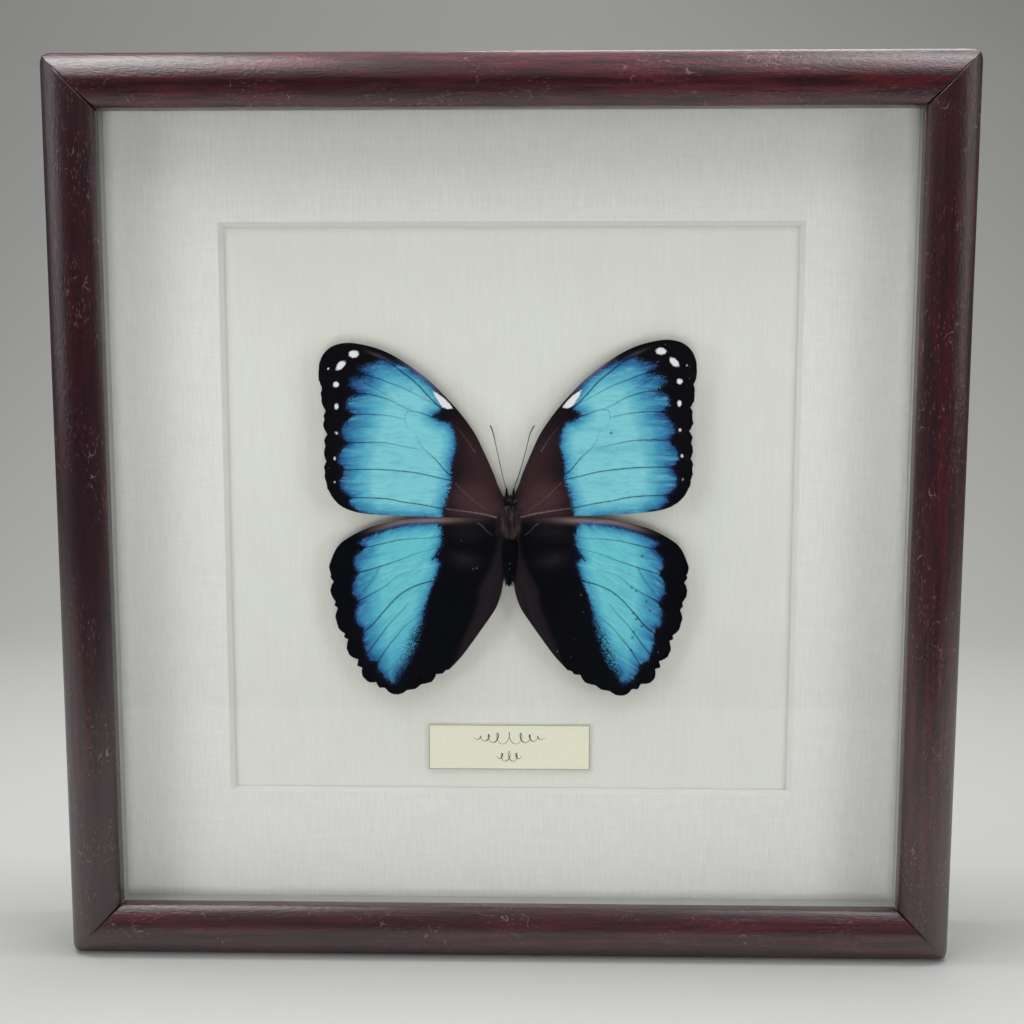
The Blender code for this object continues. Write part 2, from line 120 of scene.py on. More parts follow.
def make_table():
    """A floor and backdrop in one sheet, with a quarter-round sweep between them."""
    line = [(TABLE_FRONT, cad_low.z), (SWEEP_START, cad_low.z)]
    for step in range(1, SWEEP_STEPS + 1):
        turn = math.radians(90 * step / SWEEP_STEPS)
        line.append((
            SWEEP_START + SWEEP_RADIUS * math.sin(turn),
            cad_low.z + SWEEP_RADIUS * (1 - math.cos(turn)),
        ))
    line.append((SWEEP_START + SWEEP_RADIUS, SWEEP_HEIGHT))
    points = [(x, y, z) for y, z in line for x in (-TABLE_HALF_WIDTH, TABLE_HALF_WIDTH)]
    faces = [(2 * k, 2 * k + 1, 2 * k + 3, 2 * k + 2) for k in range(len(line) - 1)]
    table = make_mesh("table", points, faces, sharp=30)
    paint = bpy.data.materials.new("pale table")
    paint.use_nodes = True
    paint.node_tree.nodes["Principled BSDF"].inputs["Base Color"].default_value = TABLE_TONE
    paint.node_tree.nodes["Principled BSDF"].inputs["Roughness"].default_value = 0.9
    paint.node_tree.nodes["Principled BSDF"].inputs["Specular IOR Level"].default_value = 0.1
    table.data.materials.append(paint)


def add_light(name, place, width, height, power, mirrored=True):
    """A soft light aimed at the frame. If it isn't mirrored, gloss and glass don't reflect it."""
    lamp = bpy.data.lights.new(name, "AREA")
    lamp.shape = "RECTANGLE"
    lamp.size = width
    lamp.size_y = height
    lamp.energy = power
    holder = bpy.data.objects.new(name, lamp)
    holder.location = place
    holder.rotation_euler = (CENTRE - Vector(place)).to_track_quat("-Z", "Y").to_euler()
    holder.visible_glossy = mirrored
    holder.visible_transmission = mirrored
    holder.visible_camera = False
    bpy.context.scene.collection.objects.link(holder)


def dim_room(horizon, overhead, backdrop):
    """Weak light from all round, stronger overhead. The camera itself sees an even pale backdrop."""
    room = bpy.data.worlds.new("room")
    room.use_nodes = True
    bpy.context.scene.world = room
    tree = room.node_tree
    way = tree.nodes.new("ShaderNodeTexCoord")
    parts = tree.nodes.new("ShaderNodeSeparateXYZ")
    rise = tree.nodes.new("ShaderNodeMapRange")
    rise.inputs["From Min"].default_value = 0.15
    rise.inputs["From Max"].default_value = 0.9
    rise.inputs["To Min"].default_value = horizon
    rise.inputs["To Max"].default_value = overhead
    seen = tree.nodes.new("ShaderNodeLightPath")
    strength = tree.nodes.new("ShaderNodeMix")
    strength.inputs[3].default_value = backdrop
    tree.links.new(way.outputs["Generated"], parts.inputs[0])
    tree.links.new(parts.outputs["Z"], rise.inputs["Value"])
    tree.links.new(seen.outputs["Is Camera Ray"], strength.inputs[0])
    tree.links.new(rise.outputs["Result"], strength.inputs[2])
    tree.links.new(strength.outputs[0], tree.nodes["Background"].inputs["Strength"])
    tree.nodes["Background"].inputs["Color"].default_value = (0.95, 0.97, 1, 1)


make_viewer()
make_table()
add_light("left overhead light", (-0.5, -0.45, 0.95), 0.4, 0.5, 1.9)
add_light("right overhead light", (0.5, -0.45, 0.95), 0.4, 0.5, 1.2)
add_light("left light close over the frame", (-0.42, -0.15, 1.0), 0.25, 0.35, 2.0)
add_light("right light close over the frame", (0.42, -0.15, 1.0), 0.25, 0.35, 1.2)
add_light("left side light", (-0.9, -0.2, 0.4), 0.4, 0.5, 0.6)
add_light("right side light", (0.9, -0.2, 0.4), 0.4, 0.5, 0.5)
add_light("left side fill", (-0.8, -0.55, 0.2), 0.3, 0.5, 2.3, mirrored=False)
add_light("right side fill", (0.8, -0.55, 0.2), 0.3, 0.5, 1.8, mirrored=False)
add_light("low front fill", (0, -0.6, -0.05), 0.3, 0.3, 1.65, mirrored=False)
add_light("light just above the top rail", (0, 0.0, 0.56), 0.5, 0.08, 2.7, mirrored=False)
add_light("rear light", (0.2, 0.5, 0.9), 0.6, 0.4, 2.0)
dim_room(0.03, 0.3, 0.42)
bpy.context.scene.view_settings.view_transform = "Standard"


# ---- Rails ----
# Four lengths of a cushion-shaped moulding in a red-brown stained hardwood, with a rabbet
# behind, mitred and glued at the corners, then rounded there and sprayed with clear lacquer.

CROWN_INSET = 0.008
OUTER_FALL = 0.0045
INNER_FALL = 0.0038
SIGHT_EDGE = 0.0027
RABBET_WIDTH = 0.0062
CORNER_RADIUS = 0.0036
CROWN_ROUNDING = 0.0016
OUTER_FLAT = 0.55
INNER_FLAT = 0.5
OUTER_BULGE = 1.6
INNER_BULGE = 1.5
SIDE_STEPS = 5
OUTER_STEPS = 18
INNER_STEPS = 16
MITRE_GAP = 0.00003
MITRE_DIP = 0.00022
MITRE_DIP_REACH = 0.0004
EDGE_EASE = 0.0006
RAIL_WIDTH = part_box("rail_top")[1].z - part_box("rail_top")[0].z
# Each rail with its turn in degrees and how much painted shade darkens its wood.
RAILS = (("rail_top", 0, 0.0), ("rail_right", 90, 0.4), ("rail_bottom", 180, 0.15), ("rail_left", 270, 0.65))


def rail_section():
    """The moulding's outline from its outer back edge round, as distance in from its side and depth."""
    front = cad_low.y
    back = cad_high.y
    section = [(EDGE_EASE, back), (0.0, back - EDGE_EASE)]
    for step in range(1, SIDE_STEPS):
        run = (front + OUTER_FALL - back + EDGE_EASE) * step / SIDE_STEPS
        section.append((0.0, back - EDGE_EASE + run))
    for step in range(OUTER_STEPS + 1):
        turn = math.radians(90 * step / OUTER_STEPS)
        fall = OUTER_FLAT * math.cos(turn) ** OUTER_BULGE + (1 - OUTER_FLAT) * (1 - math.sin(turn))
        section.append((CROWN_INSET * (1 - math.cos(turn)), front + OUTER_FALL * fall))
    reach = RAIL_WIDTH - CROWN_INSET
    for step in range(1, INNER_STEPS + 1):
        turn = math.radians(90 * step / INNER_STEPS)
        fall = INNER_FLAT * math.sin(turn) ** INNER_BULGE + (1 - INNER_FLAT) * (1 - math.cos(turn))
        section.append((CROWN_INSET + reach * math.sin(turn), front + INNER_FALL * fall))
    lip = front + INNER_FALL + SIGHT_EDGE
    section.append((RAIL_WIDTH, (lip + front + INNER_FALL) / 2))
    section.append((RAIL_WIDTH, lip - EDGE_EASE / 2))
    section.append((RAIL_WIDTH - EDGE_EASE / 2, lip))
    section.append((RAIL_WIDTH - RABBET_WIDTH, lip))
    section.append((RAIL_WIDTH - RABBET_WIDTH, back))
    return section


def rail_stations():
    """Places along a rail as shares of its half length, closer together near the mitres."""
    half = [0.0]
    half += [0.9 * step / 14 for step in range(1, 15)]
    half += [0.9 + 0.094 * step / 24 for step in range(1, 25)]
    half += [0.9965, 0.998, 0.999, 1.0]
    return [-s for s in reversed(half[1:])] + half


def make_rail(name, turned):
    """A rail built as the top one about the frame's centre, then turned into its place."""
    section = rail_section()
    stations = rail_stations()
    points = []
    middle = Vector((RAIL_WIDTH / 2, (cad_low.y + cad_high.y) / 2))
    for share in stations:
        for inset, depth in section:
            length = HALF - inset - MITRE_GAP
            from_end = (1 - abs(share)) * length
            dip = MITRE_DIP * max(0.0, 1 - from_end / MITRE_DIP_REACH)
            dip *= min(1.0, max(0.0, 2 * inset / CROWN_INSET - 0.7))
            pull = Vector((inset, depth)) - middle
            pull = pull * (1 - dip / max(pull.length, dip))
            across = HALF - (middle.x + pull.x)
            along = share * length
            fall = max(0.0, 1 - (depth - cad_low.y) / OUTER_FALL)
            radius = CORNER_RADIUS + CROWN_ROUNDING * fall
            corner = HALF - radius
            outward = Vector((abs(along) - corner, across - corner))
            sink = 0.0
            if outward.x > 0 and outward.y > 0 and outward.length > radius:
                sink = (outward.length - radius) * fall
                outward *= radius / outward.length
                along = math.copysign(corner + outward.x, along)
                across = corner + outward.y
            points.append((along, middle.y + pull.y + sink, across))
    faces = tube_faces(len(stations), len(section))
    rail = make_mesh(name + "_moulding", points, faces, sharp=38)
    rail.matrix_world = Matrix.Translation(CENTRE) @ Matrix.Rotation(math.radians(turned), 4, "Y")
    return rail


def tone(code):
    """A colour from its six-figure web code, for the shaders."""
    shares = [int(code[k:k + 2], 16) / 255 for k in (0, 2, 4)]
    return tuple(s / 12.92 if s <= 0.04045 else ((s + 0.055) / 1.055) ** 2.4 for s in shares) + (1.0,)


class Finish:
    """A material and the few kinds of node that the finishes here are mixed from."""

    def __init__(self, name, **settings):
        self.material = bpy.data.materials.new(name)
        self.material.use_nodes = True
        self.tree = self.material.node_tree
        self.surface = self.tree.nodes["Principled BSDF"]
        for socket, value in settings.items():
            self.set(socket.replace("_", " "), value)

    def set(self, socket, value):
        self.wire(self.surface, socket, value)

    def wire(self, node, socket, value):
        if isinstance(value, bpy.types.NodeSocket):
            self.tree.links.new(value, node.inputs[socket])
        else:
            node.inputs[socket].default_value = value

    def add(self, kind, wires=(), **settings):
        node = self.tree.nodes.new("ShaderNode" + kind)
        for name, value in settings.items():
            setattr(node, name, value)
        for socket, value in dict(wires).items():
            self.wire(node, socket, value)
        return node

    def place(self, stretch=(1, 1, 1), shift=(0, 0, 0), turn=(0, 0, 0)):
        """The point on the piece in metres, stretched for grain."""
        where = self.add("TexCoord").outputs["Object"]
        wires = {"Vector": where, "Scale": stretch, "Location": shift, "Rotation": turn}
        return self.add("Mapping", wires).outputs["Vector"]

    def noise(self, where, size, detail=2.0, rough=0.5, warp=0.0):
        wires = {"Vector": where, "Scale": 1 / size, "Detail": detail, "Roughness": rough}
        return self.add("TexNoise", {**wires, "Distortion": warp}).outputs["Fac"]

    def cells(self, where, size, output="Distance"):
        return self.add("TexVoronoi", {"Vector": where, "Scale": 1 / size}).outputs[output]

    def sum(self, kind, first, second=0.0):
        return self.add("Math", {0: first, 1: second}, operation=kind).outputs[0]

    def times(self, first, second):
        return self.sum("MULTIPLY", first, second)

    def plus(self, first, second):
        return self.sum("ADD", first, second)

    def fade(self, value, start, end, low=0.0, high=1.0):
        """Runs smoothly from low to high as value goes from start to end."""
        wires = {"Value": value, "From Min": start, "From Max": end, "To Min": low, "To Max": high}
        return self.add("MapRange", wires, interpolation_type="SMOOTHSTEP").outputs["Result"]

    def mix(self, share, first, second, kind="MIX"):
        wires = {0: share, 6: first, 7: second}
        return self.add("Mix", wires, data_type="RGBA", blend_type=kind, clamp_factor=True).outputs[2]

    def relief(self, height, depth, strength=1.0):
        wires = {"Height": height, "Distance": depth, "Strength": strength}
        self.set("Normal", self.add("Bump", wires).outputs["Normal"])


def lacquered_wood(name, shift, painted_shade):
    """Stained close-grained hardwood: long streaks, short pores, pale ray flecks and a clear coat."""
    lacquer = {"Coat_Weight": 0.9, "Coat_Roughness": 0.2, "Coat_IOR": 1.56}
    wood = Finish("Lacquered wood, " + name, IOR=1.5, Specular_IOR_Level=0.45, **lacquer)
    streaks = wood.noise(wood.place((0.07, 1, 1), shift), 0.0016, 4, 0.6, 0.5)
    bands = wood.noise(wood.place((0.14, 1, 1), shift), 0.011, 3, 0.55)
    colour = wood.mix(wood.fade(streaks, 0.35, 0.65), tone("2B0D16"), tone("501C22"))
    colour = wood.mix(wood.fade(bands, 0.35, 0.7, 0, 0.6), colour, tone("1B0810"))
    # Painted shade: each rail's wood is darkened by its own share, for how the light falls on that side of
    # the frame.
    colour = wood.mix(painted_shade, colour, tone("190912"))
    patchy = wood.noise(wood.place((0.5, 1, 1), shift), 0.008, 2)
    flecks = wood.cells(wood.place((0.25, 1, 1), shift, (0, math.radians(9), 0)), 0.0006)
    fleck = wood.times(wood.fade(flecks, 0.3, 0.1), wood.fade(patchy, 0.4, 0.62))
    # Short curling scratches and rays, the level lines of a slow noise.
    swirl = wood.noise(wood.place((0.6, 1, 1), shift), 0.0042, 1, 0.5, 0.8)
    curl = wood.fade(wood.sum("ABSOLUTE", wood.sum("SUBTRACT", swirl, 0.5)), 0.014, 0.004)
    broken = wood.noise(wood.place((1, 1, 1), shift), 0.0021, 2)
    curl = wood.times(curl, wood.fade(broken, 0.52, 0.62))
    curl = wood.times(curl, wood.fade(patchy, 0.45, 0.6))
    mark = wood.sum("MAXIMUM", wood.times(fleck, 0.35), wood.times(curl, 0.6))
    colour = wood.mix(mark, colour, tone("806363"))
    pores = wood.cells(wood.place((0.1, 1, 1), shift), 0.0006)
    pore = wood.fade(pores, 0.36, 0.14)
    colour = wood.mix(wood.times(pore, 0.55), colour, tone("16080C"))
    wood.set("Base Color", colour)
    wood.set("Roughness", wood.fade(streaks, 0.3, 0.7, 0.48, 0.38))
    grit = wood.noise(wood.place((0.45, 1, 1), shift), 0.0007, 3, 0.65)
    height = wood.sum("SUBTRACT", wood.times(streaks, 0.5), wood.times(pore, 0.3))
    height = wood.plus(height, wood.plus(wood.times(mark, 0.4), wood.times(grit, 1.9)))
    bump = wood.add("Bump", {"Height": height, "Distance": 0.00007, "Strength": 0.8}).outputs["Normal"]
    wood.set("Normal", bump)
    wood.set("Coat Normal", bump)
    return wood.material


for number, (node, turned, painted_shade) in enumerate(RAILS):
    rail = make_rail(node, turned)
    shift = (0.37 * number, 0.011 * number, 0.02 * number)
    rail.data.materials.append(lacquered_wood(node.replace("_", " "), shift, painted_shade))
    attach(rail, "root")
    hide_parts(node)


# ---- Glass ----
# One pane of thin picture glass lies in the rabbet against the lip, with its edges ground.

def clear_glass():
    glass = Finish("Picture glass", Roughness=0.0, IOR=1.3, Transmission_Weight=1.0)
    glass.set("Base Color", (0.99, 0.995, 0.99, 1))
    lets_through = glass.add("BsdfTransparent", {"Color": (0.985, 0.985, 0.975, 1)})
    shadow = glass.add("LightPath").outputs["Is Shadow Ray"]
    both = glass.add("MixShader", {0: shadow, 1: glass.surface.outputs[0], 2: lets_through.outputs[0]})
    output = glass.tree.nodes["Material Output"]
    glass.tree.links.new(both.outputs[0], output.inputs["Surface"])
    return glass.material


def dress(material, slot, *nodes):
    """Gives CAD nodes that keep their own shape their material. The slot argument is not used."""
    for node in nodes:
        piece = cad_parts[node]
        piece.data.materials.clear()
        piece.data.materials.append(material)


dress(clear_glass(), "glass", "glass_pane")


# ---- Spacers ----
# Strips of white card behind the lip hold the glass clear of the mat. The card is coloured grey as painted
# shade along the lip.

def plain_card(name, face, dark, weave):
    card = Finish(name, Roughness=0.9, Specular_IOR_Level=0.15)
    fibres = card.noise(card.place(), weave, 4, 0.65)
    cloudy = card.noise(card.place(), 0.02, 3)
    colour = card.mix(card.fade(fibres, 0.3, 0.75), face, dark)
    card.set("Base Color", card.mix(card.fade(cloudy, 0.35, 0.7, 0, 0.35), colour, dark))
    card.relief(fibres, 0.00004, 0.6)
    return card.material


# The grey of the spacer card is painted shade, not the card's own white.
spacer_card = plain_card("Spacer card", tone("ADADAA"), tone("A2A29E"), 0.0003)
dress(spacer_card, "spacer_card", "spacer_top", "spacer_bottom", "spacer_left", "spacer_right")


# ---- Mat ----
# A card mat faced in pale linen-grained paper, cut with a bevel that shows its white core.

def linen_paper(name, face, thread, core=None):
    """Paper pressed with fine crossed threads, the upright ones stronger."""
    paper = Finish(name, Roughness=0.88, Specular_IOR_Level=0.2)
    upright = paper.noise(paper.place((1, 1, 0.06)), 0.00045, 3, 0.6)
    level = paper.noise(paper.place((0.06, 1, 1)), 0.0005, 3, 0.6)
    threads = paper.plus(paper.times(upright, 0.65), paper.times(level, 0.35))
    colour = paper.mix(paper.fade(threads, 0.36, 0.64), thread, face)
    if core is not None:
        facing = paper.add("SeparateXYZ", {0: paper.add("NewGeometry").outputs["True Normal"]}).outputs["Y"]
        flat = paper.fade(paper.sum("ABSOLUTE", facing), 0.9, 0.97)
        colour = paper.mix(flat, core, colour)
    paper.set("Base Color", colour)
    paper.relief(threads, 0.00004, 0.5)
    return paper.material


dress(linen_paper("Linen mat", tone("E8E8E6"), tone("E0E0DD"), tone("DEDEDB")), "mat_card", "mat_board")


# ---- Backing board ----
# A smooth white board behind the mat's window carries the label and the specimen.

def white_board():
    board = Finish("White backing board", Roughness=0.8, Specular_IOR_Level=0.25)
    fibres = board.noise(board.place(), 0.0006, 5, 0.6)
    upright = board.noise(board.place((1, 1, 0.08)), 0.0009, 3, 0.6)
    cloudy = board.noise(board.place(), 0.03, 2)
    colour = board.mix(board.fade(fibres, 0.3, 0.7), tone("DEE0D9"), tone("E6E8E1"))
    colour = board.mix(board.fade(upright, 0.35, 0.7, 0, 0.5), colour, tone("DDDED7"))
    board.set("Base Color", board.mix(board.fade(cloudy, 0.4, 0.7, 0, 0.3), colour, tone("DBDCD5")))
    board.relief(board.plus(fibres, upright), 0.00003, 0.5)
    return board.material


dress(white_board(), "backing_card", "backing_board")


# ---- Label ----
# A small cream card stuck below the specimen, with a ruled grey border and pen flourishes in
# dark ink.

LABEL_LOW, LABEL_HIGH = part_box("label_card")
LABEL_COLUMNS = 48
LABEL_ROWS = 16
LABEL_CURL = 0.00008
BORDER_INSET = 0.00022
BORDER_WIDTH = 0.00022
PEN_WIDTH = 0.00036
INK_LIFT = 0.00003
INK_GAP = 0.00001


def make_label():
    """The card, its ends curling faintly off the board."""
    middle = (LABEL_LOW + LABEL_HIGH) / 2
    half_x = (LABEL_HIGH.x - LABEL_LOW.x) / 2
    half_z = (LABEL_HIGH.z - LABEL_LOW.z) / 2
    across = LABEL_COLUMNS
    up = LABEL_ROWS
    points = []
    for face in (0, 1):
        for j in range(up + 1):
            for i in range(across + 1):
                u = 2 * i / across - 1
                v = 2 * j / up - 1
                depth = (LABEL_LOW.y if face == 0 else LABEL_HIGH.y) - LABEL_CURL * u ** 6
                points.append((middle.x + half_x * u, depth, middle.z + half_z * v))
    layer = (across + 1) * (up + 1)
    faces = []
    for j in range(up):
        for i in range(across):
            a = j * (across + 1) + i
            b = a + across + 1
            faces.append((a, a + 1, b + 1, b))
            faces.append((layer + a, layer + b, layer + b + 1, layer + a + 1))
    rim = list(range(across))
    rim += [j * (across + 1) + across for j in range(up)]
    rim += [up * (across + 1) + i for i in range(across, 0, -1)]
    rim += [j * (across + 1) for j in range(up, 0, -1)]
    for a, b in zip(rim, rim[1:] + rim[:1]):
        faces.append((b, a, layer + a, layer + b))
    return make_mesh("label", points, faces, sharp=40)


def label_card():
    card = Finish("Cream label card", Roughness=0.75, Specular_IOR_Level=0.3)
    middle = (LABEL_LOW + LABEL_HIGH) / 2
    where = card.add("SeparateXYZ", {0: card.place(shift=-middle)})
    half = (LABEL_HIGH - LABEL_LOW) / 2
    from_side = card.sum("SUBTRACT", half.x, card.sum("ABSOLUTE", where.outputs["X"]))
    from_end = card.sum("SUBTRACT", half.z, card.sum("ABSOLUTE", where.outputs["Z"]))
    inset = card.sum("MINIMUM", from_side, from_end)
    off_line = card.sum("ABSOLUTE", card.sum("SUBTRACT", inset, BORDER_INSET))
    fibres = card.noise(card.place(), 0.0005, 5, 0.65)
    colour = card.mix(card.fade(fibres, 0.3, 0.7), tone("F0EFDB"), tone("E8E7D0"))
    line = card.fade(off_line, BORDER_WIDTH, BORDER_WIDTH * 0.4)
    card.set("Base Color", card.mix(card.times(line, 0.75), colour, tone("7F8174")))
    card.relief(fibres, 0.00003, 0.5)
    return card.material


def pen_stroke(line):
    """A flat ribbon of ink along the line, thicker on strokes drawn downward."""
    line = [Vector(p) for p in line]
    points = []
    for k, point in enumerate(line):
        ahead = line[min(k + 1, len(line) - 1)]
        behind = line[max(k - 1, 0)]
        along = (ahead - behind).normalized()
        ends = min(1.0, 4 * k / len(line), 4 * (len(line) - 1 - k) / len(line))
        half = PEN_WIDTH * (0.4 + 0.6 * max(0.0, -along.y)) * (0.25 + 0.75 * ends) / 2
        side = Vector((-along.y, along.x)) * half
        for reach, lift in ((-1, 0.0), (-1, INK_LIFT), (1, INK_LIFT), (1, 0.0)):
            spot = point + side * reach
            points.append((spot.x, LABEL_LOW.y + INK_GAP - lift, spot.y))
    return points, tube_faces(len(line), 4, turned_over=True)


FLOURISHES = (
    # width, height, rise above the card's middle and turns to each side
    (0.0210, 0.0038, 0.0027, 4),
    (0.0074, 0.0034, -0.0028, 2),
)


def make_flourishes():
    """Two rows of scrolls, in loops that shrink from the middle to both sides."""
    middle = (LABEL_LOW + LABEL_HIGH) / 2
    points = []
    faces = []
    for width, height, rise, turns in FLOURISHES:
        for side in (1, -1):
            line = []
            steps = 80 * turns
            for step in range(steps + 1):
                t = step / steps
                swing = 2 * math.pi * turns * t
                size = (1 - t) ** 0.75
                z = height / 2 * size * math.cos(swing)
                x = width / 2 * t ** 0.8 - 0.55 * height / 2 * size * math.sin(swing)
                line.append((middle.x + side * x, middle.z + rise + z))
            more, sheets = pen_stroke(line)
            faces += [tuple(n + len(points) for n in face) for face in sheets]
            points += more
    return make_mesh("label_flourishes", points, faces)


def pen_ink():
    ink = Finish("Pen ink", Roughness=0.5)
    ink.set("Base Color", ink.mix(ink.noise(ink.place(), 0.0008, 3), tone("2C2C27"), tone("4F4F46")))
    return ink.material


label = make_label()
label.data.materials.append(label_card())
flourishes = make_flourishes()
flourishes.data.materials.append(pen_ink())
for piece in (label, flourishes):
    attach(piece, "root")
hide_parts("label_card")


# ---- Cork pad ----
# A scrap of cork is glued to the board behind the thorax, and the butterfly is glued to it.

def cork():
    pad = Finish("Cork", Roughness=0.95, Specular_IOR_Level=0.1)
    grains = pad.cells(pad.place(), 0.0009)
    speck = pad.noise(pad.place(), 0.0004, 3)
    colour = pad.mix(pad.fade(grains, 0.1, 0.7), tone("B98D5C"), tone("8E6439"))
    pad.set("Base Color", pad.mix(pad.fade(speck, 0.6, 0.7), colour, tone("4A2F1B")))
    pad.relief(grains, 0.0002, 0.8)
    return pad.material


dress(cork(), "cork", "cork_pad")


# ---- Wings ----
# Four dried wings, each one membrane with raised veins, covered in scales: brown-black with a
# broad blue band, and white spots along the forewing's margin. The forewings lap over the
# hindwings, and all four meet at the thorax.

MM = 0.001
WINGS_X = 0.1 * MM
FOREWING_ROOT = (3.0, 3.0)
FOREWING_TILT = 0.6
WING_GRAIN = 0.32
EDGE_STEP = 0.3
# In millimetres: how far the dark of a vein, the painted shade of a fold and a pale line reaches, how wide a
# vein's ridge and a fold's dip are and how high, and where the wing starts to thin towards its edge.
VEIN_DARK = 0.14
FOLD_SHADE_REACH = 0.35
PALE_REACH = 0.13
RIDGE_REACH = 0.3
RIDGE_RISE = 0.07
FOLD_REACH = 0.9
FOLD_DIP = 0.05
THINNING_REACH = 1.2
THINNEST_SHARE = 0.35
DOT_REACH = 0.32
WING_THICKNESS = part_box("hindwing_right")[1].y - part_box("hindwing_right")[0].y

# Half outlines in millimetres from the wings' centre line, x outward and z up.
FOREWING_COSTA = (
    (0.9, 4.6), (1.9, 7.2), (2.9, 9.2), (4.0, 12.4), (6.9, 19.1), (9.3, 24.0), (13.1, 29.4), (17.9, 34.9),
    (23.0, 39.8), (30.0, 44.8), (35.6, 47.6), (41.2, 49.1), (45.2, 49.4), (48.8, 48.5), (51.3, 46.4),
    (52.6, 43.6),
)
FOREWING_MARGIN = (
    (52.6, 43.6), (52.8, 40.4), (52.5, 36.0), (52.1, 31.0), (51.9, 25.5), (51.9, 19.3), (52.0, 13.0),
    (51.4, 9.0), (50.1, 6.6), (48.4, 4.6), (46.2, 3.0),
)
FOREWING_INNER = (
    (46.2, 3.0), (42.8, 1.9), (37.4, 1.2), (30.0, 0.8), (20.0, 0.4), (10.0, 0.1), (3.8, -0.4), (0.9, -0.6),
)
FOREWING_NOTCHES = (
    (6.7, 0.7), (9.1, 0.25), (13.0, 1.0), (15.3, 0.45), (19.6, 1.05), (22.8, 0.5), (27.2, 0.75),
    (30.3, 0.4), (33.4, 0.5), (36.0, 0.35),
)
HINDWING_COSTA = (
    (0.7, 0.3), (4.0, 0.8), (10.0, 0.8), (18.0, 0.6), (24.0, 0.2), (30.0, -0.4), (37.7, -2.3), (42.4, -4.1),
    (46.9, -6.7), (48.9, -8.7), (50.1, -11.0),
)
HINDWING_MARGIN = (
    (50.1, -11.0), (51.3, -14.6), (51.1, -18.5), (50.7, -22.4), (50.0, -27.0), (49.0, -31.2),
    (47.5, -35.3), (45.8, -39.5), (43.9, -43.4), (41.4, -46.8), (38.0, -49.3), (33.6, -51.1),
    (31.2, -51.2), (27.6, -49.9), (23.4, -48.1), (20.2, -46.4), (17.1, -44.0),
)
HINDWING_INNER = (
    (17.1, -44.0), (13.5, -40.1), (10.8, -36.5), (8.2, -32.8), (5.4, -28.8), (3.4, -25.6), (2.1, -21.9),
    (1.5, -18.8), (1.0, -16.5), (0.8, -13.0), (0.7, -7.4), (0.7, -4.4), (0.7, 0.3),
)
HINDWING_NOTCHES = (
    (5.5, 0.7), (7.7, 1.1), (13.6, 1.0), (15.7, 1.3), (23.6, 1.1), (25.5, 1.4), (32.2, 1.8), (34.9, 1.5),
    (41.5, 1.3), (44.5, 1.0), (52.0, 0.6), (56.5, 0.6), (61.8, 1.3), (64.5, 0.5),
)
NOTCH_REACH = 2.4
NOTCH_SHARPNESS = 1.4

# The blue band's edge, and the veins with how dark they are at their first and last point.
FOREWING_BLUE = (
    (35.2, 44.7), (32.8, 44.1), (30.3, 43.4), (27.8, 42.2), (25.3, 40.7), (22.9, 38.8), (21.0, 37.1),
    (19.6, 35.6), (18.2, 32.0), (18.5, 30.4), (20.9, 29.0), (18.6, 27.4), (16.2, 26.8), (15.0, 24.0),
    (14.5, 21.0), (14.8, 19.0), (15.6, 16.6), (15.9, 14.0), (16.0, 11.0), (16.9, 7.8), (17.7, 5.1),
    (18.3, 2.6), (18.8, 0.0), (30.0, 0.3), (38.0, 1.0), (42.4, 2.2), (45.0, 4.4), (44.6, 6.1),
    (47.3, 8.6), (47.4, 11.0), (45.9, 13.9), (47.8, 16.2), (47.6, 18.4), (45.0, 21.6), (46.8, 24.0),
    (46.4, 26.0), (43.1, 29.5), (45.2, 31.4), (44.8, 33.4), (41.4, 35.4), (44.0, 37.8), (43.4, 39.2),
    (39.2, 40.4), (41.2, 42.4), (38.0, 43.4),
)
FOREWING_VEINS = (
    (((10.0, 22.5), (13.6, 26.6), (16.5, 29.3), (18.4, 30.9), (21.6, 33.9), (25.4, 38.0), (29.2, 41.1),
      (32.8, 43.8), (37.5, 45.6)), 0.9, 0.9),
    (((18.2, 31.0), (21.1, 32.6), (24.2, 34.2), (27.3, 35.9), (30.4, 37.3), (33.7, 38.5), (38.3, 40.2),
      (44.0, 41.2)), 0.35, 0.9),
    (((30.4, 32.6), (33.0, 34.4), (35.4, 35.8), (37.9, 37.2), (40.4, 38.8)), 0.25, 0.6),
    (((26.8, 30.4), (29.9, 31.8), (33.0, 33.5), (36.0, 34.5), (39.2, 35.2), (43.0, 35.4), (48.0, 35.4)),
     0.45, 1.0),
    (((28.7, 28.1), (31.0, 28.6), (33.7, 29.1), (38.0, 29.5), (43.5, 29.5), (49.0, 29.4)), 0.4, 1.0),
    (((24.0, 19.4), (29.0, 20.4), (33.8, 21.4), (38.0, 21.7), (45.3, 21.6), (49.5, 21.5)), 0.35, 1.0),
    (((8.0, 9.2), (16.2, 10.8), (19.5, 11.5), (24.0, 12.6), (29.0, 13.4), (36.9, 14.0), (46.4, 14.0),
      (50.0, 13.8)), 0.8, 0.8),
    (((5.0, 0.8), (12.0, 1.9), (18.8, 2.9), (21.6, 3.4), (25.2, 4.1), (29.5, 4.7), (33.7, 5.6),
      (38.9, 6.0), (44.9, 6.2), (48.5, 6.4)), 0.8, 0.8),
    (((15.8, 12.2), (17.4, 13.2), (20.5, 16.8), (23.3, 19.4), (24.8, 21.6), (26.2, 25.2)), 1.0, 0.15),
    (((16.5, 28.4), (18.7, 28.1), (21.2, 28.7), (24.0, 29.7), (26.4, 30.2), (28.2, 30.0), (28.7, 28.1),
      (28.0, 25.5)), 1.0, 0.2),
)
